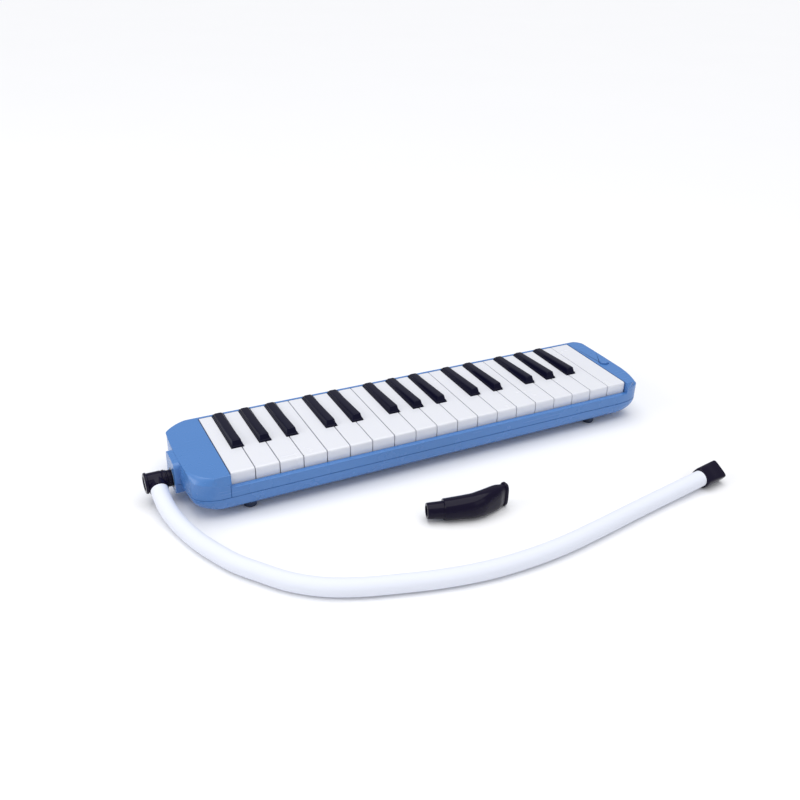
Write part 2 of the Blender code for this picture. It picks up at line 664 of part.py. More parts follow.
def build_deck(finish, rod_hole):
    margin = GAP
    low = (WINDOW_LEFT + margin, KEYS_Y - RAIL_SETBACK + margin, DECK_BOTTOM)
    high = (WINDOW_RIGHT - margin, KEYS_REAR + RAIL_SETBACK - margin, DECK_TOP)
    deck = add_part("key_deck", box_mesh("key_deck", (low, high)), finish)
    for number, x in enumerate(bracket_places(), start=1):
        half = BRACKET_WIDTH / 2
        head_top = PIVOT_Z + BRACKET_HEAD
        bracket = prism_mesh("bracket", [(PIVOT_Y - BRACKET_FOOT, DECK_BOTTOM + MM),
                                         (PIVOT_Y + BRACKET_FOOT, DECK_BOTTOM + MM),
                                         (PIVOT_Y + BRACKET_HEAD, head_top),
                                         (PIVOT_Y - BRACKET_HEAD, head_top)],
                             x - half, x + half, "X")
        boolean(deck, add_cutter(f"pivot_bracket_{number}", bracket), "UNION")
    boolean(deck, rod_hole)
    width, depth = TONE_HOLE
    holes = [((x - width / 2, TONE_HOLE_Y - depth / 2, DECK_BOTTOM - MM),
              (x + width / 2, TONE_HOLE_Y + depth / 2, DECK_TOP + MM)) for x in rib_centres()]
    boolean(deck, add_cutter("tone_holes", box_mesh("tone_holes", *holes)))


def build_pivot_rod(finish):
    low, high = WINDOW_LEFT + GAP, WINDOW_RIGHT - GAP
    rod = cylinder_mesh("pivot_rod", (low, PIVOT_Y, PIVOT_Z), (high, PIVOT_Y, PIVOT_Z), ROD_RADIUS, 12)
    add_part("pivot_rod", rod, finish)


def build_spring_comb(finish):
    """Flat steel strip with one tongue under each key, bent up towards its rib."""
    front = PIVOT_Y - SPRING_STRIP_REACH
    root = front + SPRING_STRIP_DEPTH
    tip = root + SPRING_REACH
    low = DECK_TOP + GAP
    outline = [(KEYS_X + MM, front), (KEYS_X + KEYBED_LENGTH - MM, front),
               (KEYS_X + KEYBED_LENGTH - MM, root)]
    for x in reversed(rib_centres()):
        half = SPRING_WIDTH / 2
        outline += [(x + half, root), (x + half, tip), (x - half, tip), (x - half, root)]
    outline.append((KEYS_X + MM, root))
    mesh = prism_mesh("key_spring_comb", outline, low, low + SPRING_THICKNESS)
    for vertex in mesh.vertices:
        if vertex.co.y > root + MERGE:
            vertex.co.z += SPRING_LIFT
    add_part("key_spring_comb", mesh, finish)


def build_felt(finish):
    low = (KEYS_X + GAP, KEYS_Y, DECK_TOP + GAP)
    high = (KEYS_X + KEYBED_LENGTH - GAP, KEYS_Y + FELT_DEPTH, DECK_TOP + GAP + FELT_THICKNESS)
    add_part("key_stop_felt", box_mesh("key_stop_felt", (low, high)), finish)


def chest_box(inset, low, high):
    return ((KEYS_X + CHEST_END + inset, KEYS_Y + CHEST_FRONT + inset, low),
            (KEYS_X + KEYBED_LENGTH - CHEST_END - inset, KEYS_REAR - CHEST_SETBACK - inset, high))


def build_wind_chest(finish, gasket_finish):
    floor = BODY_BOTTOM + WALL + GAP
    rim = DECK_BOTTOM - GAP - GASKET_THICKNESS - GAP
    chest = add_part("wind_chest", box_mesh("wind_chest", chest_box(0.0, floor, rim)), finish)
    inside = box_mesh("chest_inside", chest_box(CHEST_WALL, floor + CHEST_WALL, rim + CHEST_WALL))
    boolean(chest, add_cutter("chest_inside", inside))
    left = KEYS_X + CHEST_END
    port = box_mesh("chest_port",
                    ((left - MM, INLET_Y - PORT_HALF_WIDTH, floor + CHEST_WALL),
                     (left + 2 * CHEST_WALL, INLET_Y + PORT_HALF_WIDTH, rim - CHEST_WALL / 2)))
    boolean(chest, add_cutter("chest_port", port))

    low, high = rim + GAP, rim + GAP + GASKET_THICKNESS
    gasket = add_part("chest_gasket", box_mesh("chest_gasket", chest_box(0.0, low, high)), gasket_finish)
    hole = box_mesh("gasket_hole", chest_box(CHEST_WALL, low - MM, high + MM))
    boolean(gasket, add_cutter("gasket_hole", hole))


def build_reed_plates(finish):
    """Two brass plates under the tone holes, bass and treble, each with a slot for every reed."""
    top = DECK_BOTTOM - GAP
    centres = rib_centres()
    half_count = len(centres) // 2
    split = (centres[half_count - 1] + centres[half_count]) / 2
    left = KEYS_X + CHEST_END + CHEST_WALL + GAP
    right = KEYS_X + KEYBED_LENGTH - CHEST_END - CHEST_WALL - GAP
    rear = min(TONE_HOLE_Y + REED_DEPTH / 2, KEYS_REAR - CHEST_SETBACK - CHEST_WALL - GAP)
    for name, x_low, x_high, group in (
            ("bass_reed_plate", left, split - GAP / 2, centres[:half_count]),
            ("treble_reed_plate", split + GAP / 2, right, centres[half_count:])):
        low = (x_low, rear - REED_DEPTH, top - REED_THICKNESS)
        plate = add_part(name, box_mesh(name, (low, (x_high, rear, top))), finish)
        middle_y = rear - REED_DEPTH / 2
        slots = [((max(x - REED_SLOT[0] / 2, x_low + MM), middle_y - REED_SLOT[1] / 2, low[2] - MM),
                  (x + REED_SLOT[0] / 2, middle_y + REED_SLOT[1] / 2, top + MM)) for x in group]
        boolean(plate, add_cutter(f"{name}_slots", box_mesh(name, *slots)))


# ---- blowing end ------------------------------------
def along_x(x):
    """Place for a turned piece whose local Z runs along +X, starting at x on the inlet axis."""
    return Matrix.Translation((x, INLET_Y, INLET_Z)) @ Matrix.Rotation(math.pi / 2, 4, "Y")


def build_inlet(finish):
    turned_part("inlet_socket",
                [(SOCKET_BORE, SOCKET_LENGTH), (SOCKET_RADIUS, SOCKET_LENGTH), (SOCKET_RADIUS, 0.0),
                 (SOCKET_BORE + 0.6 * MM, 0.0), (SOCKET_BORE, 0.8 * MM), (SOCKET_BORE, SOCKET_LENGTH)],
                finish, along_x(BOSS_X), 24)
    overlap = 2 * DUCT_WALL
    half_width = PORT_HALF_WIDTH + DUCT_WALL
    low = (BOSS_X + SOCKET_LENGTH - overlap, INLET_Y - half_width, BODY_BOTTOM + WALL + GAP)
    high = (KEYS_X + CHEST_END - GAP, INLET_Y + half_width, INLET_Z + SOCKET_RADIUS + GAP + DUCT_WALL)
    step = (KEYS_X - RAIL_SETBACK - WALL - GAP, DECK_BOTTOM - 2 * GAP)
    outline = [(low[0], low[2]), (high[0], low[2]), (high[0], step[1]), (step[0], step[1]),
               (step[0], high[2]), (low[0], high[2])]
    duct_mesh = prism_mesh("wind_duct", outline, -high[1], -low[1])
    duct_mesh.transform(Matrix.Rotation(math.pi / 2, 4, "X"))
    duct = add_part("wind_duct", duct_mesh, finish)
    inside_low = tuple(edge + DUCT_WALL for edge in low)
    room = box_mesh("duct_room", (inside_low, (step[0] - DUCT_WALL, high[1] - DUCT_WALL,
                                               high[2] - DUCT_WALL)))
    boolean(duct, add_cutter("duct_room", room))
    port = box_mesh("duct_port", ((step[0] - overlap, *inside_low[1:]),
                                  (high[0] + MM, high[1] - DUCT_WALL, step[1] - DUCT_WALL)))
    boolean(duct, add_cutter("duct_port", port))
    entry = cylinder_mesh("duct_entry", (low[0] - MM, INLET_Y, INLET_Z),
                          (low[0] + overlap + GAP, INLET_Y, INLET_Z), SOCKET_RADIUS + GAP, 24)
    boolean(duct, add_cutter("duct_entry", entry))


def build_seal(finish):
    groove = SPIGOT_RADIUS - 1.0 * MM
    start = BOSS_X + 4.0 * MM
    turned_part("elbow_seal_ring",
                [(SOCKET_BORE - GAP / 4, 1.5 * MM), (SOCKET_BORE - GAP / 4, 0.3 * MM),
                 (groove + GAP + 0.4 * MM, 0.0), (groove + GAP, 0.3 * MM),
                 (groove + GAP, 1.5 * MM), (groove + GAP + 0.4 * MM, 1.8 * MM),
                 (SOCKET_BORE - GAP / 4, 1.5 * MM)],
                finish, along_x(start), 24)


def outlet_direction():
    return Vector((0.0, -math.cos(OUTLET_TILT), -math.sin(OUTLET_TILT)))


def build_elbow(finish):
    """Spigot, neck, barrel and end rim turned about the inlet axis, with the hose outlet."""
    tip = BOSS_X + SPIGOT_LENGTH
    face = BOSS_X - GAP
    shoulder = face - NECK_LENGTH
    rim = shoulder - BARREL_LENGTH
    end = rim - RIM_LENGTH
    groove = SPIGOT_RADIUS - 1.0 * MM
    seal = BOSS_X + 4.0 * MM
    stations = [(0.0, tip), (SPIGOT_RADIUS - 0.5 * MM, tip), (SPIGOT_RADIUS, tip - MM),
                (SPIGOT_RADIUS, seal + 1.8 * MM + GAP), (groove, seal + 1.8 * MM + GAP),
                (groove, seal - GAP), (SPIGOT_RADIUS, seal - GAP), (SPIGOT_RADIUS, face),
                (NECK_RADIUS, face), (NECK_RADIUS, shoulder), (BARREL_RADIUS - 0.6 * MM, shoulder),
                (BARREL_RADIUS, shoulder - 0.6 * MM), (BARREL_RADIUS, rim), (RIM_RADIUS, rim),
                (RIM_RADIUS, end + 0.7 * MM), (RIM_RADIUS - 0.9 * MM, end), (0.0, end)]
    profile = [(radius, x - end) for radius, x in stations]
    elbow = turned_part("elbow_connector", profile, finish, along_x(end), 24)
    axis = Vector((ELBOW_AXIS_X, INLET_Y, INLET_Z))
    mouth = axis + outlet_direction() * OUTLET_LENGTH
    outlet = cylinder_mesh("outlet", axis, mouth, OUTLET_RADIUS, 20)
    boolean(elbow, add_cutter("elbow_outlet", outlet), "UNION")
    airway = cylinder_mesh("airway", (tip + MM, INLET_Y, INLET_Z), axis, AIRWAY_RADIUS, 12)
    boolean(elbow, add_cutter("elbow_airway", airway))
    turn = cylinder_mesh("turn", axis - outlet_direction() * AIRWAY_RADIUS * 0.5,
                         mouth + outlet_direction() * MM, AIRWAY_RADIUS, 12)
    boolean(elbow, add_cutter("elbow_turn", turn))
    return mouth


# ---- hose and mouthpieces -----------------------------
def smooth_line(points, per_span=24):
    """Centripetal curve through the points, closely sampled."""
    points = [points[0] * 2 - points[1]] + points + [points[-1] * 2 - points[-2]]
    line = []
    for p0, p1, p2, p3 in zip(points, points[1:], points[2:], points[3:]):
        t1 = (p1 - p0).length ** 0.5
        t2 = t1 + (p2 - p1).length ** 0.5
        t3 = t2 + (p3 - p2).length ** 0.5
        for step in range(per_span):
            t = t1 + (t2 - t1) * step / per_span
            a1 = p0 * ((t1 - t) / t1) + p1 * (t / t1)
            a2 = p1 * ((t2 - t) / (t2 - t1)) + p2 * ((t - t1) / (t2 - t1))
            a3 = p2 * ((t3 - t) / (t3 - t2)) + p3 * ((t - t2) / (t3 - t2))
            b1 = a1 * ((t2 - t) / t2) + a2 * (t / t2)
            b2 = a2 * ((t3 - t) / (t3 - t1)) + a3 * ((t - t1) / (t3 - t1))
            line.append(b1 * ((t2 - t) / (t2 - t1)) + b2 * ((t - t1) / (t2 - t1)))
    line.append(points[-2])
    return line


def evenly(line, count):
    """Points at equal distances along a closely sampled line."""
    lengths = [0.0]
    for a, b in zip(line, line[1:]):
        lengths.append(lengths[-1] + (b - a).length)
    spaced, index = [], 0
    for i in range(count):
        target = lengths[-1] * i / (count - 1)
        while index < len(lengths) - 2 and lengths[index + 1] < target:
            index += 1
        share = (target - lengths[index]) / (lengths[index + 1] - lengths[index])
        spaced.append(line[index].lerp(line[index + 1], min(max(share, 0.0), 1.0)))
    return spaced


def hose_line(mouth):
    """Points of the hose's centre line; the first stretch leaves the elbow's mouth squarely."""
    start = mouth + outlet_direction() * GAP
    root = start + outlet_direction() * HOSE_RADIUS
    chosen = [Vector((KEYS_X + x * MM, KEYS_Y + y * MM, z * MM)) for x, y, z in HOSE_ROUTE]
    return [start] + evenly(smooth_line([root] + chosen), HOSE_SAMPLES)


def build_hose(line, finish):
    curve = bpy.data.curves.new("hose", "CURVE")
    curve.dimensions = "3D"
    curve.bevel_depth = HOSE_RADIUS
    curve.bevel_resolution = 3
    curve.use_fill_caps = True
    spline = curve.splines.new("POLY")
    spline.points.add(len(line) - 1)
    for point, place in zip(spline.points, line):
        point.co = (*place, 1.0)
    hose = bpy.data.objects.new("hose", curve)
    PARTS.objects.link(hose)
    curve.materials.append(finish)


def mouthpiece_mesh(name, sections, frame, squareness, segments=24):
    """Loft through the sections of a mouthpiece; squareness 2 gives ellipses, more gives boxes."""
    rings = []
    for along, shift, half_width, half_height, lift, turn in sections:
        place = (frame @ Matrix.Translation((along * MM, shift * MM, lift * MM))
                 @ Matrix.Rotation(math.radians(turn), 4, "Z"))
        ring = []
        for i in range(segments):
            angle = 2 * math.pi * i / segments
            across, up = math.cos(angle), math.sin(angle)
            across = math.copysign(abs(across) ** (2 / squareness), across)
            up = math.copysign(abs(up) ** (2 / squareness), up)
            ring.append(place @ Vector((0.0, half_width * MM * across, half_height * MM * up)))
        rings.append(ring)
    return loft_mesh(name, rings)


def build_hose_mouthpiece(line, finish):
    end, along = line[-1], (line[-1] - line[-2]).normalized()
    frame = (Matrix.Translation(end + along * GAP) @ along.to_track_quat("X", "Z").to_matrix().to_4x4()
             @ Matrix.Rotation(LIP_PIECE_ROLL, 4, "X"))
    mesh = mouthpiece_mesh("hose_mouthpiece", LIP_PIECE_SECTIONS, frame, 3.2)
    piece = add_part("hose_mouthpiece", mesh, finish)
    slot = box_mesh("lip_slot", (LIP_SLOT_LOW, LIP_SLOT_HIGH))
    slot.transform(frame)
    boolean(piece, add_cutter("lip_slot", slot))


def build_short_mouthpiece(finish):
    start = Vector((KEYS_X + SHORT_PIECE_START[0] * MM, KEYS_Y + SHORT_PIECE_START[1] * MM, 0.0))
    frame = Matrix.Translation(start) @ Matrix.Rotation(SHORT_PIECE_TURN, 4, "Z")
    mesh = mouthpiece_mesh("short_mouthpiece", SHORT_PIECE_SECTIONS, frame, 2.0)
    piece = add_part("short_mouthpiece", mesh, finish)
    radius, depth = SHORT_BORE
    centre = SHORT_PIECE_SECTIONS[0][4] * MM
    bore = cylinder_mesh("short_bore", (-MM, 0.0, centre), (depth, 0.0, centre), radius, 12)
    bore.transform(frame)
    boolean(piece, add_cutter("short_bore", bore))


# ---- drain button, feet and screws --------------------
def build_button(finish, spring_finish, valve_finish):
    top = KEY_TOP + BUTTON_RISE
    stem_low = BODY_BOTTOM + DRAIN_DEPTH + 2.5 * MM
    skirt = KEY_TOP - BUTTON_SKIRT
    profile = [(0.0, top), (BUTTON_RADIUS - MM, top), (BUTTON_RADIUS, top - 0.8 * MM),
               (BUTTON_RADIUS, skirt), (BUTTON_STEM_RADIUS, skirt), (BUTTON_STEM_RADIUS, stem_low),
               (0.0, stem_low)]
    place = Matrix.Translation((BUTTON_X, BUTTON_Y, 0.0))
    turned_part("drain_button", profile, finish, place, 24)

    low, high = SHELF_Z + SHELF_THICKNESS + GAP, skirt - GAP
    wire = SPRING_WIRE_RADIUS
    per_turn = 8
    curve = bpy.data.curves.new("drain_spring", "CURVE")
    curve.dimensions = "3D"
    curve.bevel_depth = wire
    curve.bevel_resolution = 1
    curve.use_fill_caps = True
    spline = curve.splines.new("POLY")
    count = SPRING_TURNS * per_turn
    spline.points.add(count)
    for i, point in enumerate(spline.points):
        angle = 2 * math.pi * i / per_turn
        height = low + wire + (high - low - 2 * wire) * i / count
        point.co = (BUTTON_X + SPRING_COIL_RADIUS * math.cos(angle),
                    BUTTON_Y + SPRING_COIL_RADIUS * math.sin(angle), height, 1.0)
    spring = bpy.data.objects.new("drain_spring", curve)
    PARTS.objects.link(spring)
    curve.materials.append(spring_finish)

    low = BODY_BOTTOM + GAP / 3
    disc_top = BODY_BOTTOM + DRAIN_DEPTH
    neck_top = stem_low - GAP
    profile = [(0.0, neck_top), (BUTTON_STEM_RADIUS, neck_top), (BUTTON_STEM_RADIUS, disc_top),
               (DRAIN_RADIUS, disc_top), (DRAIN_RADIUS, low), (0.0, low)]
    turned_part("drain_valve", profile, valve_finish, place, 20)


def build_feet(finish):
    middle = (LEFT_X + RIGHT_X) / 2
    names = {("bass", "front"): (-1, FRONT_Y + FOOT_INSET), ("bass", "rear"): (-1, REAR_Y - FOOT_INSET),
             ("treble", "front"): (1, FRONT_Y + FOOT_INSET), ("treble", "rear"): (1, REAR_Y - FOOT_INSET)}
    top = BODY_BOTTOM - GAP
    for (end, side), (sign, y) in names.items():
        profile = [(0.0, top), (FOOT_RADIUS, top), (FOOT_RADIUS, 2.4 * MM),
                   (FOOT_RADIUS - 0.9 * MM, 0.7 * MM), (FOOT_RADIUS - 2.3 * MM, 0.0), (0.0, 0.0)]
        place = Matrix.Translation((middle + sign * FOOT_SPAN / 2, y, 0.0))
        turned_part(f"{end}_{side}_foot", profile, finish, place, 16)


def build_screws(finish):
    head_low = BODY_BOTTOM + GAP
    head_high = head_low + SCREW_HEAD_HEIGHT - GAP / 2
    tip = BODY_BOTTOM + SCREW_LENGTH
    profile = [(0.0, tip), (SCREW_RADIUS, tip - MM), (SCREW_RADIUS, head_high),
               (SCREW_HEAD_RADIUS, head_high), (SCREW_HEAD_RADIUS, head_low), (0.0, head_low)]
    for number, (x, y) in enumerate(screw_places(), start=1):
        turned_part(f"case_screw_{number}", profile, finish, Matrix.Translation((x, y, 0.0)), 12)


def main():
    clear_scene()
    blue = material("blue_plastic", (0.112, 0.262, 0.604), 0.28)
    ivory = material("white_plastic", (0.86, 0.87, 0.90), 0.25)
    ebony = material("black_plastic", (0.012, 0.011, 0.016), 0.18)
    grey = material("grey_plastic", (0.42, 0.44, 0.46), 0.45)
    brass = material("reed_brass", (0.62, 0.45, 0.18), 0.35, 1.0)
    steel = material("steel", (0.55, 0.56, 0.58), 0.3, 1.0)
    felt = material("green_felt", (0.05, 0.18, 0.09), 0.95)
    rubber = material("navy_rubber", (0.012, 0.022, 0.06), 0.6)
    silicone = material("grey_silicone", (0.25, 0.26, 0.28), 0.55)
    tubing = material("milky_tubing", (0.80, 0.83, 0.92), 0.35)

    rod_hole = rod_clearance()
    passage = socket_passage()
    build_upper_case(blue, passage)
    build_lower_case(blue, passage)
    build_white_keys(ivory, rod_hole)
    build_black_keys(ebony, rod_hole)
    build_deck(grey, rod_hole)
    build_pivot_rod(steel)
    build_spring_comb(steel)
    build_felt(felt)
    build_wind_chest(grey, silicone)
    build_reed_plates(brass)
    build_inlet(grey)
    build_seal(silicone)
    mouth = build_elbow(ebony)
    line = hose_line(mouth)
    build_hose(line, tubing)
    build_hose_mouthpiece(line, ebony)
    build_short_mouthpiece(ebony)
    build_button(blue, steel, silicone)
    build_feet(rubber)
    build_screws(steel)
    for part in PARTS.objects:
        if "_key_" in part.name:
            on_pivot(part)


main()
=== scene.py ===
"""Looks of the melodica: its moulded case, its keys, the blowing hose and both mouthpieces.

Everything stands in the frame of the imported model, in metres: +X runs from the blowing end to the
treble end, +Y from the player to the back, +Z up, and the floor is z = 0.
"""

import json
import logging
import math
from dataclasses import dataclass, field
from enum import Enum
from typing import Iterable, Sequence

import bmesh
import bpy
from mathutils import Matrix, Vector

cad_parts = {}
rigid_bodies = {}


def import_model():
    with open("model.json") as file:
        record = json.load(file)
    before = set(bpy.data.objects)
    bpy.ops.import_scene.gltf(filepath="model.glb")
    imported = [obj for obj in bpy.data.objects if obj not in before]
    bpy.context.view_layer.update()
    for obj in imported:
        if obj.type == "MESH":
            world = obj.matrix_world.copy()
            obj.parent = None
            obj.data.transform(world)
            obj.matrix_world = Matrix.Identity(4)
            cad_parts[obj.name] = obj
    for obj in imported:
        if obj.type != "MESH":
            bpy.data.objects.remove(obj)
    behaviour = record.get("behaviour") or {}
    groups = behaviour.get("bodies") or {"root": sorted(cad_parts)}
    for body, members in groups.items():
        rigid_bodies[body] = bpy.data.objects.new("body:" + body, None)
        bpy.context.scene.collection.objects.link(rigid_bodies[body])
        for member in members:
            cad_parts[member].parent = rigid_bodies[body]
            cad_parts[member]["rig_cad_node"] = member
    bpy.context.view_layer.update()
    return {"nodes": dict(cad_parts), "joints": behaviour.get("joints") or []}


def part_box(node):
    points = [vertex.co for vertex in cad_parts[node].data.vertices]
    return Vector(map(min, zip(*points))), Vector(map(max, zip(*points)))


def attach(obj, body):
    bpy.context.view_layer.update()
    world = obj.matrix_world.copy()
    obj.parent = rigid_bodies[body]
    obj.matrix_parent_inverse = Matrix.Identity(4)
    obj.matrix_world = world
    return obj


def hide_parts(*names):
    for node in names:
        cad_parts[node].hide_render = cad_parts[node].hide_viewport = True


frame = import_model()

MM = 0.001
LOG = logging.getLogger("melodica")

Colour = tuple[float, float, float]
Point2 = tuple[float, float]


# ---- shader graphs ------------------------------------------------------------------------------
class Signal:
    """One output socket of a material, which sums and products can use."""

    def __init__(self, graph: "Graph", socket: bpy.types.NodeSocket) -> None:
        """Wraps a socket.

        Args:
            graph: The graph that the socket belongs to.
            socket: The output socket.
        """
        self.graph = graph
        self.socket = socket

    def _math(self, operation: str, first: "Signal | float", second: "Signal | float") -> "Signal":
        """Adds one Math node for two operands."""
        return self.graph.node("ShaderNodeMath", {"operation": operation}, {0: first, 1: second})

    def __add__(self, other: "Signal | float") -> "Signal":
        """Sum."""
        return self._math("ADD", self, other)

    def __radd__(self, other: float) -> "Signal":
        """Sum with the number first."""
        return self._math("ADD", other, self)

    def __sub__(self, other: "Signal | float") -> "Signal":
        """Difference."""
        return self._math("SUBTRACT", self, other)

    def __rsub__(self, other: float) -> "Signal":
        """Difference with the number first."""
        return self._math("SUBTRACT", other, self)

    def __mul__(self, other: "Signal | float") -> "Signal":
        """Product."""
        return self._math("MULTIPLY", self, other)

    def __rmul__(self, other: float) -> "Signal":
        """Product with the number first."""
        return self._math("MULTIPLY", other, self)

    def __pow__(self, other: "Signal | float") -> "Signal":
        """Power."""
        return self._math("POWER", self, other)

    def step(self, low: float, high: float) -> "Signal":
        """Smooth ramp from 0 at low to 1 at high.

        Args:
            low: Value that gives 0.
            high: Value that gives 1.

        Returns:
            The ramped signal, held between 0 and 1.
        """
        return self.graph.node("ShaderNodeMapRange", {"interpolation_type": "SMOOTHSTEP"},
                               {"Value": self, "From Min": low, "From Max": high})


class Graph:
    """Nodes of one material, round its Principled shader."""

    def __init__(self, name: str) -> None:
        """Makes an empty material with a Principled shader.

        Args:
            name: The material's name.
        """
        self.material = bpy.data.materials.new(name)
        self.material.use_nodes = True
        self.tree = self.material.node_tree
        self.shader = self.tree.nodes["Principled BSDF"]
        self.place = self.node("ShaderNodeTexCoord", {}, {}, "Object")

    @staticmethod
    def _find(sockets: Iterable[bpy.types.NodeSocket], key: "str | int") -> bpy.types.NodeSocket:
        """Finds a socket by number, identifier or name.

        Args:
            sockets: The sockets to look through.
            key: Number, identifier or name.

        Returns:
            The socket.
        """
        listed = list(sockets)
        if isinstance(key, int):
            return listed[key]
        for socket in listed:
            if key in (socket.identifier, socket.name):
                return socket
        raise KeyError(key)

    def node(self, kind: str, settings: dict, inputs: dict, output: "str | int" = 0) -> Signal:
        """Adds any node.

        Args:
            kind: The node's type name.
            settings: Properties that are set first; "stops" fills a colour ramp.
            inputs: Values or signals for its input sockets, by name or number.
            output: The output socket wanted.

        Returns:
            The wanted output.
        """
        made = self.tree.nodes.new(kind)
        for key, value in settings.items():
            if key == "stops":
                ramp = made.color_ramp
                for element, (place, colour) in zip(ramp.elements, value):
                    element.position = place
                    element.color = (*colour, 1.0)
            else:
                setattr(made, key, value)
        for key, value in inputs.items():
            self.feed(self._find(made.inputs, key), value)
        return Signal(self, self._find(made.outputs, output))

    def feed(self, socket: bpy.types.NodeSocket, value: "Signal | float | Sequence[float]") -> None:
        """Links a signal to a socket, or sets a plain value on it.

        Args:
            socket: The input socket.
            value: A signal of this graph, a number or a row of numbers.
        """
        if isinstance(value, Signal):
            self.tree.links.new(value.socket, socket)
        else:
            socket.default_value = value

    def noise(self, scale: float, detail: float = 3.0, stretch: Colour = (1.0, 1.0, 1.0),
              rough: float = 0.5) -> Signal:
        """Cloudy noise from 0 to 1.

        Args:
            scale: Blobs in a metre.
            detail: Number of finer layers.
            stretch: Factors on the three axes; a small one draws the blobs out along that axis.
            rough: Strength of the finer layers.

        Returns:
            The noise as a number.
        """
        place = self.node("ShaderNodeMapping", {}, {"Vector": self.place, "Scale": stretch})
        return self.node("ShaderNodeTexNoise", {},
                         {"Vector": place, "Scale": scale, "Detail": detail, "Roughness": rough})

    def mix(self, factor: "Signal | float", first: "Signal | Colour",
            second: "Signal | Colour") -> Signal:
        """Colour between two colours.

        Args:
            factor: How much of the second colour there is, 0 to 1.
            first: Colour at 0.
            second: Colour at 1.

        Returns:
            The mixed colour.
        """
        ends = [end if isinstance(end, Signal) else (*end, 1.0) for end in (first, second)]
        return self.node("ShaderNodeMix", {"data_type": "RGBA"},
                         {"Factor_Float": factor, "A_Color": ends[0], "B_Color": ends[1]},
                         "Result_Color")

    def near(self, point: Sequence[float], inner: float, outer: float) -> Signal:
        """Mask that is 1 within inner of a point and 0 beyond outer, in metres.

        Args:
            point: The place in metres.
            inner: Distance up to which the mask is 1.
            outer: Distance from which it is 0.

        Returns:
            The mask.
        """
        distance = self.node("ShaderNodeVectorMath", {"operation": "DISTANCE"},
                             {0: self.place, 1: tuple(point)}, "Value")
        return 1.0 - distance.step(inner, outer)

    def bump(self, height: Signal, depth: float, strength: float = 1.0) -> Signal:
        """Normal bent by a height of the given depth in metres."""
        return self.node("ShaderNodeBump", {},
                         {"Height": height, "Distance": depth, "Strength": strength})

    def set(self, **values: "Signal | float | Sequence[float]") -> "Graph":
        """Sets the shader's sockets; an underscore in a name stands for a space.

        Args:
            values: A signal or plain value for each socket.

        Returns:
            This graph.
        """
        for key, value in values.items():
            self.feed(self.shader.inputs[key.replace("_", " ")], value)
        return self


class Finish:
    """A finish that makes its material once and then gives it to any number of pieces."""

    name: str

    def paint(self, graph: Graph) -> None:
        """Builds the finish's nodes.

        Args:
            graph: The empty graph to fill.
        """
        raise NotImplementedError

    def material(self) -> bpy.types.Material:
        """The finish's material, made the first time that it is asked for.

        Returns:
            The material.
        """
        made = bpy.data.materials.get(self.name)
        if made is None:
            graph = Graph(self.name)
            self.paint(graph)
            made = graph.material
        return made

    def dress(self, piece: bpy.types.Object) -> bpy.types.Object:
        """Gives one piece this finish alone.

        Args:
            piece: The piece to dress.

        Returns:
            The same piece.
        """
        if piece.get("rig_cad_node") is None:
            piece.data.materials.clear()
            piece.data.materials.append(None)
        piece.material_slots[0].link = "OBJECT"
        piece.material_slots[0].material = self.material()
        return piece


@dataclass(frozen=True)
class MouldedPlastic(Finish):
    """Injection-moulded plastic: uneven tint, fine spark grain, rubbed patches and hair scratches."""

    name: str
    tint: Colour
    shade: Colour
    roughness: float
    coat: float = 0.0
    grain: float = 0.012 * MM
    scratches: float = 0.10
    translucency: float = 0.0
    specular: float = 0.5

    def paint(self, graph: Graph) -> None:
        """Mixes two tints, roughens rubbed patches and adds grain and scratches.

        Args:
            graph: The empty graph to fill.
        """
        clouds = graph.noise(26.0, 4.0)
        flow = graph.noise(9.0, 2.0, (0.35, 1.0, 1.0))
        rubbed = graph.noise(48.0, 5.0, rough=0.62).step(0.52, 0.74)
        hair = graph.noise(420.0, 2.0, (0.05, 1.0, 1.0), 0.4).step(0.66, 0.72)
        grain = graph.noise(1900.0, 2.0)
        tinted = graph.mix(clouds * 0.6 + flow * 0.4, self.shade, self.tint)
        uneven = rubbed * 0.07 + hair * self.scratches + clouds * 0.05
        relief = grain - hair * 0.8
        graph.set(Base_Color=tinted, Roughness=uneven + self.roughness,
                  Normal=graph.bump(relief, self.grain, 0.7), Coat_Weight=self.coat,
                  Coat_Roughness=0.12, Specular_IOR_Level=self.specular,
                  Subsurface_Weight=self.translucency,
                  Subsurface_Radius=(2.0, 2.0, 2.4), Subsurface_Scale=MM)


@dataclass(frozen=True)
class MilkyTubing(Finish):
    """Soft clear-white tube, greyer where it sits over the fittings at its two ends."""

    name: str
    start: tuple[float, float, float]
    end: tuple[float, float, float]
    sleeve: float = 11.0 * MM
    body: Colour = (0.74, 0.77, 0.86)
    pale: Colour = (0.82, 0.845, 0.90)
    fitted: Colour = (0.50, 0.53, 0.60)

    def paint(self, graph: Graph) -> None:
        """Clouds the tube, darkens its fitted ends and leaves faint rubbed rings.

        Args:
            graph: The empty graph to fill.
        """
        clouds = graph.noise(22.0, 3.0)
        smear = graph.noise(70.0, 4.0).step(0.45, 0.72)
        ends = 0.0
        for point in (self.start, self.end):
            ends = graph.near(point, self.sleeve * 0.85, self.sleeve * 1.35) + ends
        tube = graph.mix(clouds, self.body, self.pale)
        ripple = graph.noise(160.0, 2.0)
        graph.set(Base_Color=graph.mix(ends * 0.75, tube, self.fitted),
                  Roughness=smear * 0.12 + 0.24, Normal=graph.bump(ripple, 0.05 * MM, 0.5),
                  Subsurface_Weight=0.55, Subsurface_Radius=(3.0, 3.2, 3.8),
                  Subsurface_Scale=MM, Coat_Weight=0.15, Coat_Roughness=0.2)


class Lay(Enum):
    """Direction in which a metal surface was rolled or drawn."""

    ALONG_X = (0.02, 1.0, 1.0)
    ALONG_Z = (1.0, 1.0, 0.02)
    TURNED = (1.0, 1.0, 0.15)


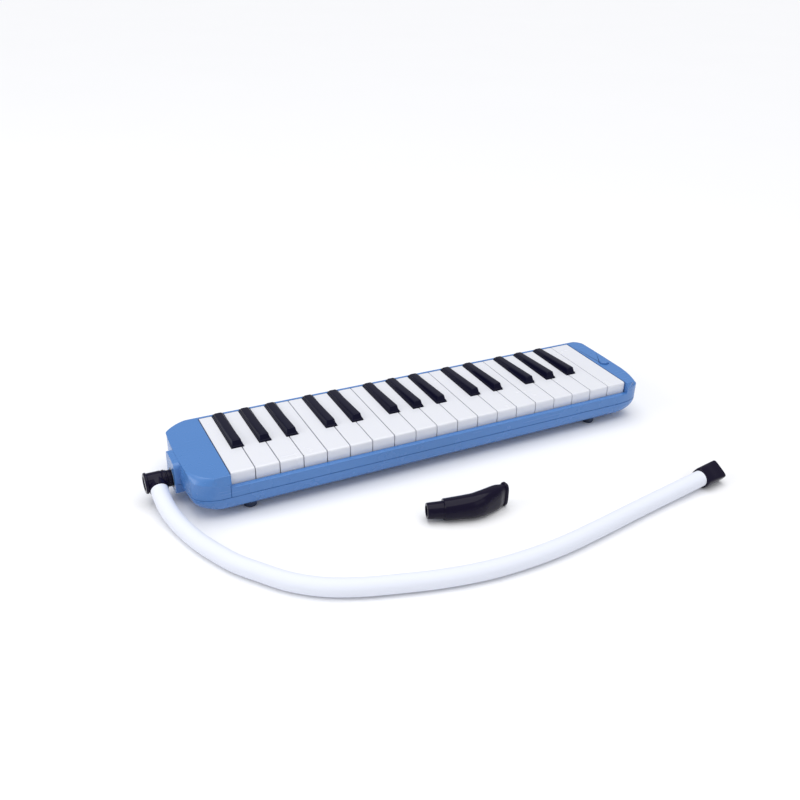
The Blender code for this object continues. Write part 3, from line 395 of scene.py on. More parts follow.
@dataclass(frozen=True)
class WorkedMetal(Finish):
    """Rolled or turned metal with a directional grain and a few dull spots."""

    name: str
    tint: Colour
    tarnish: Colour
    lay: Lay
    roughness: float = 0.26

    def paint(self, graph: Graph) -> None:
        """Lays the grain, then dulls it where it has tarnished.

        Args:
            graph: The empty graph to fill.
        """
        grain = graph.noise(900.0, 3.0, self.lay.value)
        spots = graph.noise(130.0, 5.0, rough=0.6).step(0.55, 0.75)
        graph.set(Base_Color=graph.mix(spots * 0.7, self.tint, self.tarnish), Metallic=1.0,
                  Roughness=grain * 0.12 + spots * 0.2 + self.roughness,
                  Normal=graph.bump(grain, 0.01 * MM, 0.6))


@dataclass(frozen=True)
class PressedFelt(Finish):
    """Wool felt strip."""

    name: str
    tint: Colour
    pile: Colour

    def paint(self, graph: Graph) -> None:
        """Tangles light fibres over a darker base.

        Args:
            graph: The empty graph to fill.
        """
        fibres = graph.noise(1500.0, 5.0, (0.5, 1.0, 1.0), 0.7)
        tufts = graph.noise(240.0, 3.0)
        graph.set(Base_Color=graph.mix(fibres * 0.7 + tufts * 0.3, self.tint, self.pile),
                  Roughness=tufts * 0.08 + 0.88, Sheen_Weight=0.4,
                  Normal=graph.bump(fibres, 0.12 * MM))


@dataclass(frozen=True)
class MouldedRubber(Finish):
    """Rubber with a dusty bloom."""

    name: str
    tint: Colour
    bloom: Colour
    roughness: float = 0.5

    def paint(self, graph: Graph) -> None:
        """Blooms the rubber in soft patches over a fine pebble.

        Args:
            graph: The empty graph to fill.
        """
        bloom = graph.noise(150.0, 4.0).step(0.42, 0.7)
        pebble = graph.noise(1400.0, 2.0)
        graph.set(Base_Color=graph.mix(bloom * 0.5, self.tint, self.bloom),
                  Roughness=bloom * 0.2 + self.roughness, Normal=graph.bump(pebble, 0.02 * MM, 0.8))


@dataclass(frozen=True)
class PaleFloor(Finish):
    """Plain pale studio floor."""

    name: str = "pale_floor"
    tint: Colour = (0.93, 0.93, 0.94)

    def paint(self, graph: Graph) -> None:
        """Keeps the floor plain, with a trace of unevenness.

        Args:
            graph: The empty graph to fill.
        """
        clouds = graph.noise(3.0, 2.0)
        paler = tuple(min(channel + 0.015, 1.0) for channel in self.tint)
        graph.set(Base_Color=graph.mix(clouds, self.tint, paler), Roughness=0.9,
                  Specular_IOR_Level=0.2)


BLUE = MouldedPlastic("blue_case_plastic", (0.082, 0.226, 0.550), (0.073, 0.208, 0.515), 0.24)
IVORY = MouldedPlastic("white_key_plastic", (0.80, 0.81, 0.865), (0.77, 0.785, 0.84), 0.20, 0.1,
                       0.004 * MM, 0.04, 0.08)
EBONY = MouldedPlastic("black_key_plastic", (0.007, 0.007, 0.024), (0.005, 0.005, 0.018), 0.09, 0.0,
                       0.004 * MM, 0.05, 0.0, 0.11)
JET = MouldedPlastic("black_fitting_plastic", (0.008, 0.006, 0.022), (0.006, 0.004, 0.015), 0.11,
                     0.0, 0.006 * MM, 0.06, 0.0, 0.13)
GREY = MouldedPlastic("grey_inner_plastic", (0.43, 0.45, 0.47), (0.37, 0.39, 0.41), 0.42)
SILICONE = MouldedRubber("grey_silicone", (0.24, 0.25, 0.27), (0.33, 0.34, 0.36), 0.42)
FOOT_RUBBER = MouldedRubber("navy_foot_rubber", (0.012, 0.024, 0.062), (0.05, 0.065, 0.10))
STEEL = WorkedMetal("drawn_steel", (0.56, 0.57, 0.59), (0.36, 0.35, 0.34), Lay.ALONG_X)
SPRING_STEEL = WorkedMetal("spring_wire", (0.50, 0.51, 0.53), (0.32, 0.31, 0.30), Lay.ALONG_Z)
SCREW_STEEL = WorkedMetal("screw_steel", (0.58, 0.58, 0.60), (0.30, 0.29, 0.28), Lay.TURNED)
BRASS = WorkedMetal("reed_brass", (0.70, 0.50, 0.20), (0.38, 0.24, 0.10), Lay.ALONG_X, 0.3)
FELT = PressedFelt("green_felt", (0.03, 0.12, 0.06), (0.10, 0.30, 0.16))


# ---- forms --------------------------------------------------------------------------------------
class Cut(Enum):
    """What one form does to another."""

    AWAY = "DIFFERENCE"
    JOINED = "UNION"


def tidy_mesh(mesh: bpy.types.Mesh, reach: float = 0.03 * MM) -> None:
    """Merges the slivers that a cut leaves and splits its large faces into simple ones.

    Args:
        mesh: The mesh to tidy.
        reach: Largest distance that is merged, in metres.
    """
    work = bmesh.new()
    work.from_mesh(mesh)
    bmesh.ops.remove_doubles(work, verts=work.verts, dist=reach)
    bmesh.ops.dissolve_degenerate(work, edges=work.edges, dist=reach)
    wide = [face for face in work.faces if len(face.verts) > 4]
    bmesh.ops.triangulate(work, faces=wide)
    work.to_mesh(mesh)
    work.free()


class Form:
    """A solid while it is being shaped."""

    def __init__(self, name: str, mesh: bpy.types.Mesh) -> None:
        """Puts a mesh in the scene as the start of a form.

        Args:
            name: The piece's name.
            mesh: Its first mesh.
        """
        self.piece = bpy.data.objects.new(name, mesh)
        bpy.context.scene.collection.objects.link(self.piece)
        self.tools: list[bpy.types.Object] = []

    @staticmethod
    def _mesh(name: str, shape: bmesh.types.BMesh) -> bpy.types.Mesh:
        """Turns a finished bmesh into a mesh with its faces pointing out.

        Args:
            name: Name of the mesh.
            shape: The bmesh, which is freed.

        Returns:
            The mesh.
        """
        bmesh.ops.recalc_face_normals(shape, faces=shape.faces)
        mesh = bpy.data.meshes.new(name)
        shape.to_mesh(mesh)
        shape.free()
        return mesh

    @classmethod
    def loft(cls, name: str, rings: Sequence[Sequence[Sequence[float]]]) -> "Form":
        """Closed skin through rings of equally many points, with flat ends.

        Args:
            name: The piece's name.
            rings: Rings of points, in order.

        Returns:
            The form.
        """
        shape = bmesh.new()
        loops = [[shape.verts.new(point) for point in ring] for ring in rings]
        count = len(loops[0])
        for lower, upper in zip(loops, loops[1:]):
            for i in range(count):
                j = (i + 1) % count
                shape.faces.new((lower[i], lower[j], upper[j], upper[i]))
        shape.faces.new(list(reversed(loops[0])))
        shape.faces.new(loops[-1])
        return cls(name, cls._mesh(name, shape))

    @classmethod
    def prism(cls, name: str, outline: Sequence[Point2], low: float, high: float,
              axis: str = "Z") -> "Form":
        """Flat outline drawn out along one axis; it gives the other two coordinates in order.

        Args:
            name: Name of the piece.
            outline: The flat outline.
            low: Lower end along the axis.
            high: Upper end along the axis.
            axis: The axis, X, Y or Z.

        Returns:
            The new form.
        """
        place = {"X": lambda u, v, w: (w, u, v), "Y": lambda u, v, w: (u, w, v),
                 "Z": lambda u, v, w: (u, v, w)}[axis]
        return cls.loft(name, [[place(u, v, w) for u, v in outline] for w in (low, high)])

    @classmethod
    def block(cls, name: str, low: Sequence[float], high: Sequence[float]) -> "Form":
        """Plain block between two corners, used to cut with."""
        corners = [(low[0], low[1]), (high[0], low[1]), (high[0], high[1]), (low[0], high[1])]
        return cls.prism(name, corners, low[2], high[2])

    @classmethod
    def turned(cls, name: str, profile: Sequence[Point2], place: Matrix, steps: int = 48) -> "Form":
        """Solid of revolution about the local Z axis of a place.

        Args:
            name: The piece's name.
            profile: (radius, height) points from one end of the axis to the other.
            place: Where the local axes lie.
            steps: Facets round the axis.

        Returns:
            The form.
        """
        shape = bmesh.new()
        loops = []
        for radius, height in profile:
            if radius < 1e-7:
                loops.append([shape.verts.new(place @ Vector((0.0, 0.0, height)))])
                continue
            turns = [2 * math.pi * i / steps for i in range(steps)]
            loops.append([shape.verts.new(place @ Vector((radius * math.cos(a), radius * math.sin(a),
                                                          height))) for a in turns])
        for lower, upper in zip(loops, loops[1:]):
            for i in range(steps):
                j = (i + 1) % steps
                ring = [lower[i % len(lower)], lower[j % len(lower)],
                        upper[j % len(upper)], upper[i % len(upper)]]
                corners = list(dict.fromkeys(ring))
                if len(corners) > 2:
                    shape.faces.new(corners)
        for loop, ends in ((loops[0], profile[0]), (loops[-1], profile[-1])):
            if len(loop) > 2 and profile[0] != profile[-1]:
                shape.faces.new(loop)
        if profile[0] == profile[-1]:
            bmesh.ops.remove_doubles(shape, verts=shape.verts, dist=1e-7)
        return cls(name, cls._mesh(name, shape))

    @classmethod
    def rod(cls, name: str, start: Sequence[float], end: Sequence[float], radius: float,
            steps: int = 32) -> "Form":
        """Round bar between two points, used to cut and to join with.

        Args:
            name: Name of the piece.
            start: Centre of one end.
            end: Centre of the other end.
            radius: Radius in metres.
            steps: Facets round it.

        Returns:
            The new form.
        """
        start, end = Vector(start), Vector(end)
        turn = (end - start).to_track_quat("Z", "Y").to_matrix().to_4x4()
        length = (end - start).length
        place = Matrix.Translation(start) @ turn
        return cls.turned(name, [(radius, 0.0), (radius, length)], place, steps)

    def carve(self, tool: "Form", how: Cut = Cut.AWAY) -> "Form":
        """Cuts another form away from this one, or joins it on.

        Args:
            tool: The other form, which is used up.
            how: Whether it is cut away or joined.

        Returns:
            This form.
        """
        modifier = self.piece.modifiers.new("carve", "BOOLEAN")
        modifier.operation = how.value
        modifier.solver = "EXACT"
        modifier.object = tool.piece
        self.tools.append(tool.piece)
        return self

    def settle(self) -> "Form":
        """Makes the cuts and joins permanent and removes the forms that were used up.

        Returns:
            This form.
        """
        if self.tools:
            graph = bpy.context.evaluated_depsgraph_get()
            mesh = bpy.data.meshes.new_from_object(self.piece.evaluated_get(graph))
            self.piece.modifiers.clear()
            self.piece.data = mesh
            tidy_mesh(mesh)
            for tool in self.tools:
                bpy.data.objects.remove(tool, do_unlink=True)
            self.tools = []
        return self

    def soften(self, width: float, segments: int = 2, angle: float = 38.0) -> "Form":
        """Rounds every edge sharper than an angle.

        Args:
            width: Width of the rounding in metres.
            segments: Facets across it.
            angle: Smallest angle that counts, in degrees.

        Returns:
            This form.
        """
        self.settle()
        bevel = self.piece.modifiers.new("soften", "BEVEL")
        bevel.width = width
        bevel.segments = segments
        bevel.limit_method = "ANGLE"
        bevel.angle_limit = math.radians(angle)
        bevel.use_clamp_overlap = False
        return self

    def done(self, finish: Finish, body: str, slot: str, *nodes: str) -> bpy.types.Object:
        """Shades, dresses and hands over the piece.

        Args:
            finish: Its finish.
            body: The body that it rides on.
            slot: The record's material slot that it stands for.
            nodes: The solids of the frame that it replaces.

        Returns:
            The finished piece.
        """
        self.settle()
        mesh = self.piece.data
        mesh.shade_smooth()
        mesh.set_sharp_from_angle(angle=math.radians(32.0))
        if self.piece.modifiers:
            weights = self.piece.modifiers.new("shade", "WEIGHTED_NORMAL")
            weights.keep_sharp = True
        return hand_over(self.piece, finish, body, slot, *nodes)


def hand_over(piece: bpy.types.Object, finish: Finish, body: str, slot: str,
              *nodes: str) -> bpy.types.Object:
    """Dresses a piece, lets it ride and reports it.

    Args:
        piece: The piece, in place.
        finish: Its finish.
        body: The body that it rides on.
        slot: The record's material slot that it stands for; not used.
        nodes: The solids of the frame that it replaces.

    Returns:
        The same piece.
    """
    finish.dress(piece)
    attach(piece, body)
    if nodes:
        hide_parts(*nodes)
    LOG.info("%s rides on %s", piece.name, body)
    return piece


def corner(centre: Point2, radii: Point2, quarter: int, power: float, steps: int) -> list[Point2]:
    """Quarter of a rounded corner, counter-clockwise.

    Args:
        centre: Centre of the quarter.
        radii: Its two half-widths.
        quarter: 0 for the corner towards +u +v, then counter-clockwise.
        power: 2 for an ellipse, towards 1 for a straight cut.
        steps: Facets in the quarter.

    Returns:
        Points round the corner.
    """
    points = []
    for i in range(steps + 1):
        angle = (quarter + i / steps) * math.pi / 2
        across, up = math.cos(angle), math.sin(angle)
        reach_u = math.copysign(abs(across) ** (2 / power), across)
        reach_v = math.copysign(abs(up) ** (2 / power), up)
        points.append((centre[0] + radii[0] * reach_u, centre[1] + radii[1] * reach_v))
    return points


def rounded_block(low: Point2, high: Point2, radius: float, steps: int = 5) -> list[Point2]:
    """Outline of a rectangle with four round corners.

    Args:
        low: Its low corner in metres.
        high: Its high corner in metres.
        radius: Radius of the corners.
        steps: Facets in each corner.

    Returns:
        The outline, counter-clockwise.
    """
    radii = (radius, radius)
    points = []
    for quarter, centre in enumerate(((high[0] - radius, high[1] - radius),
                                      (low[0] + radius, high[1] - radius),
                                      (low[0] + radius, low[1] + radius),
                                      (high[0] - radius, low[1] + radius))):
        points += corner(centre, radii, quarter, 2.0, steps)
    return points


# ---- places read from the frame -----------------------------------------------------------------
@dataclass(frozen=True)
class Site:
    """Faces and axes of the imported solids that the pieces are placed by."""

    keys_left: float
    keys_right: float
    keys_front: float
    keys_rear: float
    key_top: float
    boss_x: float
    left: float
    right: float
    front: float
    rear: float
    bottom: float
    parting: float
    ledge: float
    inlet: Point2
    button: Point2
    pivot: Point2
    white_count: int
    black_count: int

    @classmethod
    def read(cls) -> "Site":
        """Reads the places from the frame's boxes and joints.

        Returns:
            The places.
        """
        names = sorted(frame["nodes"])
        whites = [name for name in names if name.startswith("white_key_")]
        blacks = [name for name in names if name.startswith("black_key_")]
        first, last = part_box(whites[0]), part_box(whites[-1])
        half_gap = 0.25 * MM
        upper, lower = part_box("upper_case"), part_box("lower_case")
        socket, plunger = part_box("inlet_socket"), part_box("drain_button")
        hinge = next(j for j in frame["joints"] if j["name"] == "white_key_01_press")
        ledge_drop = 9.5 * MM
        return cls(first[0].x - half_gap, last[1].x + half_gap, first[0].y, first[1].y, first[1].z,
                   upper[0].x, upper[0].x + 4.0 * MM, last[1].x + half_gap + 16.2 * MM,
                   upper[0].y, upper[1].y, lower[0].z, lower[1].z, first[1].z - ledge_drop,
                   ((socket[0].y + socket[1].y) / 2, (socket[0].z + socket[1].z) / 2),
                   ((plunger[0].x + plunger[1].x) / 2, (plunger[0].y + plunger[1].y) / 2),
                   (hinge["pos_m"][1], hinge["pos_m"][2]), len(whites), len(blacks))


SITE = Site.read()
KEY_GAP = 0.5 * MM
FIT = 0.3 * MM


# ---- camera, light and floor --------------------------------------------------------------------
@dataclass
class Studio:
    """Camera, soft lights and pale floor."""

    camera_place: tuple[float, float, float] = (-0.30865, -0.5343, 0.3906)
    azimuth: float = 27.29
    elevation: float = 28.43
    roll: float = 1.75
    lens: float = 39.74
    floor_half: float = 8.0

    def build(self) -> None:
        """Sets the camera, the lights, the world and the floor."""
        bpy.context.scene.view_settings.view_transform = "Standard"
        self._camera()
        self._lights()
        self._world()
        self._floor()

    def _camera(self) -> None:
        """Aims the camera by its azimuth, elevation and roll."""
        camera = bpy.data.objects.new("camera", bpy.data.cameras.new("camera"))
        camera.data.lens = self.lens
        camera.data.sensor_width = 36.0
        camera.data.clip_start = 0.02
        turn = (Matrix.Rotation(math.radians(-self.azimuth), 4, "Z")
                @ Matrix.Rotation(math.radians(90.0 - self.elevation), 4, "X")
                @ Matrix.Rotation(math.radians(self.roll), 4, "Z"))
        camera.matrix_world = Matrix.Translation(self.camera_place) @ turn
        bpy.context.scene.collection.objects.link(camera)
        bpy.context.scene.camera = camera

    def _lights(self) -> None:
        """Hangs a broad even top light, a side light at the bass end and a low front fill."""
        sky = bpy.data.lights.new("top_light", "SUN")
        sky.energy = 1.85
        sky.angle = math.radians(65.0)
        bpy.context.scene.collection.objects.link(bpy.data.objects.new("top_light", sky))
        for name, place, size, power, tint in (
                ("side_light", (-1.4, 0.1, 0.75), 0.7, 4.5, (1.0, 0.99, 0.98)),
                ("front_fill", (0.4, -1.5, 1.0), 1.0, 2.5, (0.97, 0.98, 1.0))):
            lamp = bpy.data.lights.new(name, "AREA")
            lamp.size = size
            lamp.energy = power
            lamp.color = tint
            light = bpy.data.objects.new(name, lamp)
            light.location = place
            light.rotation_mode = "QUATERNION"
            light.rotation_quaternion = (-Vector(place)).to_track_quat("-Z", "Y")
            bpy.context.scene.collection.objects.link(light)

    def _world(self) -> None:
        """Fills the room with an even pale light."""
        world = bpy.data.worlds.new("studio")
        world.use_nodes = True
        background = world.node_tree.nodes["Background"]
        background.inputs["Color"].default_value = (0.96, 0.97, 1.0, 1.0)
        background.inputs["Strength"].default_value = 0.46
        bpy.context.scene.world = world

    def _floor(self) -> None:
        """Lays the floor."""
        half = self.floor_half
        shape = bmesh.new()
        bmesh.ops.create_grid(shape, x_segments=8, y_segments=8, size=half)
        mesh = bpy.data.meshes.new("floor")
        shape.to_mesh(mesh)
        shape.free()
        floor = bpy.data.objects.new("floor", mesh)
        floor.location = (0.0, 0.0, -0.02 * MM)
        bpy.context.scene.collection.objects.link(floor)
        PaleFloor().dress(floor)


# ---- hose and blowing fittings ------------------------------------------------------------------
def smooth_line(points: list[Vector], per_span: int = 24) -> list[Vector]:
    """Centripetal curve through points.

    Args:
        points: The points to pass through.
        per_span: Samples between neighbouring points.

    Returns:
        The closely sampled line.
    """
    points = [points[0] * 2 - points[1]] + points + [points[-1] * 2 - points[-2]]
    line = []
    for p0, p1, p2, p3 in zip(points, points[1:], points[2:], points[3:]):
        t1 = (p1 - p0).length ** 0.5
        t2 = t1 + (p2 - p1).length ** 0.5
        t3 = t2 + (p3 - p2).length ** 0.5
        for step in range(per_span):
            t = t1 + (t2 - t1) * step / per_span
            a1 = p0 * ((t1 - t) / t1) + p1 * (t / t1)
            a2 = p1 * ((t2 - t) / (t2 - t1)) + p2 * ((t - t1) / (t2 - t1))
            a3 = p2 * ((t3 - t) / (t3 - t2)) + p3 * ((t - t2) / (t3 - t2))
            b1 = a1 * ((t2 - t) / t2) + a2 * (t / t2)
            b2 = a2 * ((t3 - t) / (t3 - t1)) + a3 * ((t - t1) / (t3 - t1))
            line.append(b1 * ((t2 - t) / (t2 - t1)) + b2 * ((t - t1) / (t2 - t1)))
    line.append(points[-2])
    return line


def evenly(line: list[Vector], count: int) -> list[Vector]:
    """Points at equal distances along a closely sampled line.

    Args:
        line: The line.
        count: Number of points wanted.

    Returns:
        The points, both ends included.
    """
    lengths = [0.0]
    for a, b in zip(line, line[1:]):
        lengths.append(lengths[-1] + (b - a).length)
    spaced, index = [], 0
    for i in range(count):
        target = lengths[-1] * i / (count - 1)
        while index < len(lengths) - 2 and lengths[index + 1] < target:
            index += 1
        share = (target - lengths[index]) / (lengths[index + 1] - lengths[index])
        spaced.append(line[index].lerp(line[index + 1], min(max(share, 0.0), 1.0)))
    return spaced


@dataclass(frozen=True)
class Section:
    """Cross-section of a mouthpiece, in millimetres and degrees.

    The squareness of its outline is 2 for an ellipse and more for a box with round corners.
    """

    along: float
    shift: float
    half_width: float
    half_height: float
    lift: float
    turn: float
    squareness: float

    def values(self) -> tuple[float, ...]:
        """What changes along the piece, in the order of the fields."""
        return (self.shift, self.half_width, self.half_height, self.lift, self.turn, self.squareness)


@dataclass
class Mouthpiece:
    """Moulded piece that changes from a round end to a flat lip through its sections."""

    name: str
    sections: tuple[Section, ...]
    spacing: float = 1.2
    facets: int = 64

    def _between(self, along: float) -> Section:
        """Section at a distance, on a curve that never overshoots the given ones.

        Args:
            along: Distance from the round end, in millimetres.

        Returns:
            The section there.
        """
        stops = self.sections
        index = max(i for i in range(len(stops) - 1) if stops[i].along <= along)
        low, high = stops[index], stops[index + 1]
        span = high.along - low.along
        t = (along - low.along) / span
        mixed = []
        for k, (a, b) in enumerate(zip(low.values(), high.values())):
            slope = (b - a) / span
            ends = []
            for other, first, second in ((index - 1, index - 1, index),
                                         (index + 2, index + 1, index + 2)):
                if not 0 <= other < len(stops):
                    ends.append(slope)
                    continue
                rise = stops[second].values()[k] - stops[first].values()[k]
                beside = rise / (stops[second].along - stops[first].along)
                same = slope * beside > 0
                ends.append(2 * slope * beside / (slope + beside) if same else 0.0)
            m0, m1 = ends[0] * span, ends[1] * span
            mixed.append((2 * t ** 3 - 3 * t ** 2 + 1) * a + (t ** 3 - 2 * t ** 2 + t) * m0
                         + (3 * t ** 2 - 2 * t ** 3) * b + (t ** 3 - t ** 2) * m1)
        return Section(along, *mixed)

    @staticmethod
    def _place(section: Section, place: Matrix) -> Matrix:
        """Frame of one section: local X runs along the piece."""
        return (place @ Matrix.Translation((section.along * MM, section.shift * MM, section.lift * MM))
                @ Matrix.Rotation(math.radians(section.turn), 4, "Z"))

    def form(self, place: Matrix) -> Form:
        """Lofts the piece.

        Args:
            place: Frame whose local X runs along the piece, from its round end.

        Returns:
            The form.
        """
        stops = [section.along for section in self.sections]
        distances = set(stops)
        for low, high in zip(stops, stops[1:]):
            count = max(1, round((high - low) / self.spacing))
            distances |= {low + (high - low) * i / count for i in range(count)}
        rings = []
        for along in sorted(distances):
            section = self._between(min(along, stops[-1] - 1e-6))
            frame_here, power = self._place(section, place), 2 / section.squareness
            ring = []
            for i in range(self.facets):
                angle = 2 * math.pi * i / self.facets
                across, up = math.cos(angle), math.sin(angle)
                across = math.copysign(abs(across) ** power, across) * section.half_width
                up = math.copysign(abs(up) ** power, up) * section.half_height
                ring.append(frame_here @ Vector((0.0, across * MM, up * MM)))
            rings.append(ring)
        return Form.loft(self.name, rings)

    def opening(self, place: Matrix, half: Point2, depth: float) -> Form:
        """Slot in the lip, to be cut away.

        Args:
            place: The frame that the piece was made in.
            half: Half width and half height of the slot in millimetres.
            depth: Depth of the slot in millimetres.

        Returns:
            The slot.
        """
        low, high = (-half[0] * MM, -half[1] * MM), (half[0] * MM, half[1] * MM)
        outline = rounded_block(low, high, min(half) * 0.9 * MM)
        slot = Form.prism("lip_slot", outline, -depth * MM, 2 * MM, "X")
        slot.piece.data.transform(self._place(self.sections[-1], place))
        return slot


@dataclass
class BlowingHose:
    """Elbow in the blowing socket, the free hose and the mouthpiece on its far end."""

    body: str = "hose_set"
    radius: float = 6.5 * MM
    length: float = 0.492
    tilt: float = math.radians(13.0)
    spigot_radius: float = 6.0 * MM
    spigot_length: float = 13.0 * MM
    neck: Point2 = (6.4 * MM, 4.4 * MM)
    barrel: Point2 = (7.4 * MM, 13.6 * MM)
    rim: Point2 = (8.1 * MM, 2.2 * MM)
    outlet: Point2 = (7.0 * MM, 9.4 * MM)
    airway: float = 3.2 * MM
    # Centre line behind the elbow in metres: along the keyboard from its bass end, back from the
    # key fronts, and up from the floor.
    route: tuple[tuple[float, float, float], ...] = (
        (-0.0454, 0.0140, 0.0114), (-0.0436, 0.0040, 0.0090), (-0.0410, -0.0060, 0.0072),
        (-0.0376, -0.0180, 0.0066), (-0.0334, -0.0310, 0.0066), (-0.0264, -0.0470, 0.0066),
        (-0.0175, -0.0640, 0.0066), (-0.0050, -0.0805, 0.0066), (0.0090, -0.0970, 0.0066),
        (0.0280, -0.1115, 0.0066), (0.0500, -0.1215, 0.0066), (0.0742, -0.1290, 0.0066),
        (0.1030, -0.1365, 0.0066), (0.1350, -0.1415, 0.0066), (0.1650, -0.1425, 0.0066),
        (0.1960, -0.1406, 0.0066), (0.2330, -0.1350, 0.0066), (0.2700, -0.1283, 0.0066),
        (0.3050, -0.1226, 0.0070), (0.3280, -0.1196, 0.0080), (0.3463, -0.1168, 0.0083))
    roll: float = math.radians(32.0)
    far_piece: Mouthpiece = field(default_factory=lambda: Mouthpiece(
        "hose_lip_piece", (
            Section(0.0, 0.0, 6.9, 5.6, 0.0, 0.0, 3.4), Section(0.35, 0.0, 7.5, 6.1, 0.0, 0.0, 3.6),
            Section(0.9, 0.0, 7.8, 6.3, 0.0, 0.0, 3.8), Section(6.0, 0.0, 7.9, 6.1, 0.0, 0.0, 4.0),
            Section(14.0, 0.0, 8.0, 5.1, 0.0, 0.0, 4.6), Section(21.3, 0.0, 8.0, 4.5, 0.0, 0.0, 5.0),
            Section(21.9, 0.0, 7.85, 4.35, 0.0, 0.0, 5.0), Section(22.3, 0.0, 7.4, 3.9, 0.0, 0.0, 5.0))))

    def __post_init__(self) -> None:
        """Works out the elbow's places and the hose's centre line."""
        self.face = SITE.boss_x - FIT
        self.rim_x = self.face - self.neck[1] - self.barrel[1]
        self.axis = Vector((self.face - self.neck[1] - self.barrel[1] / 2, *SITE.inlet))
        self.direction = Vector((0.0, -math.cos(self.tilt), -math.sin(self.tilt)))
        self.mouth = self.axis + self.direction * self.outlet[1]
        start = self.mouth + self.direction * FIT
        root = start + self.direction * self.radius
        chosen = [Vector((SITE.keys_left + x, SITE.keys_front + y, z)) for x, y, z in self.route]
        self.line = [start] + evenly(smooth_line([root] + chosen), 150)

    def build(self) -> None:
        elbow = self._elbow()
        lip = self._far_piece()
        hose = self._hose()

    def _hose(self) -> bpy.types.Object:
        """Free hose as one round tube.

        Returns:
            The finished hose.
        """
        curve = bpy.data.curves.new("blowing_hose", "CURVE")
        curve.dimensions = "3D"
        curve.bevel_depth = self.radius
        curve.bevel_resolution = 10
        curve.use_fill_caps = True
        spline = curve.splines.new("POLY")
        spline.points.add(len(self.line) - 1)
        for point, place in zip(spline.points, self.line):
            point.co = (*place, 1.0)
        hose = bpy.data.objects.new("blowing_hose", curve)
        bpy.context.scene.collection.objects.link(hose)
        finish = MilkyTubing("milky_tubing", tuple(self.line[0]), tuple(self.line[-1]))
        return hand_over(hose, finish, self.body, "milky_tubing", "hose")

    def _elbow(self) -> bpy.types.Object:
        """Turned elbow with its sealing groove, ribbed barrel and outlet.

        Returns:
            The finished elbow.
        """
        end = self.rim_x - self.rim[1]
        tip = SITE.boss_x + self.spigot_length
        seal = SITE.boss_x + 4.0 * MM
        groove = self.spigot_radius - 1.0 * MM
        shoulder = self.face - self.neck[1]
        neck, barrel, rim = self.neck[0], self.barrel[0], self.rim[0]
        stations = [(0.0, tip), (self.spigot_radius - 0.6 * MM, tip), (self.spigot_radius, tip - MM),
                    (self.spigot_radius, seal + 2.1 * MM), (groove, seal + 2.1 * MM),
                    (groove, seal - FIT), (self.spigot_radius, seal - FIT),
                    (self.spigot_radius, self.face), (neck - 0.3 * MM, self.face),
                    (neck, self.face - 0.3 * MM), (neck, shoulder + 1.2 * MM),
                    (neck + 0.5 * MM, shoulder + MM), (neck + 0.5 * MM, shoulder),
                    (barrel - 0.5 * MM, shoulder), (barrel, shoulder - 0.5 * MM),
                    (barrel, shoulder - 2.0 * MM), (barrel - 0.4 * MM, shoulder - 2.2 * MM),
                    (barrel - 0.4 * MM, shoulder - 2.8 * MM), (barrel, shoulder - 3.0 * MM),
                    (barrel, self.rim_x + FIT), (barrel + 0.2 * MM, self.rim_x),
                    (rim - 0.3 * MM, self.rim_x), (rim, self.rim_x - 0.3 * MM),
                    (rim, end + 0.9 * MM), (rim - 0.3 * MM, end + 0.3 * MM),
                    (rim - 1.0 * MM, end), (rim - 2.6 * MM, end), (rim - 3.0 * MM, end + 0.5 * MM),
                    (0.0, end + 0.7 * MM)]
        place = Matrix.Translation((end, *SITE.inlet)) @ Matrix.Rotation(math.pi / 2, 4, "Y")
        elbow = Form.turned("elbow_joint", [(radius, x - end) for radius, x in stations], place, 64)
        radius, reach = self.outlet
        collar = Form.rod("outlet", self.axis, self.axis + self.direction * reach, radius, 64)
        elbow.carve(collar, Cut.JOINED)
        elbow.carve(Form.rod("airway", (tip + MM, *SITE.inlet), self.axis, self.airway))
        elbow.carve(Form.rod("turn", self.axis - self.direction * self.airway * 0.5,
                             self.mouth + self.direction * MM, self.airway))
        elbow.soften(0.25 * MM, 2, 50.0)
        return elbow.done(JET, self.body, "black_plastic", "elbow_connector")

    def _far_piece(self) -> bpy.types.Object:
        """Flat mouthpiece on the far end of the hose, rolled over onto its front edge.

        Returns:
            The finished mouthpiece.
        """
        end, along = self.line[-1], (self.line[-1] - self.line[-2]).normalized()
        turn = along.to_track_quat("X", "Z").to_matrix().to_4x4()
        place = (Matrix.Translation(end + along * FIT) @ turn @ Matrix.Rotation(self.roll, 4, "X"))
        piece = self.far_piece.form(place)
        piece.carve(self.far_piece.opening(place, (5.8, 1.3), 9.0))
        piece.soften(0.25 * MM, 2, 50.0)
        return piece.done(JET, self.body, "black_plastic", "hose_mouthpiece")


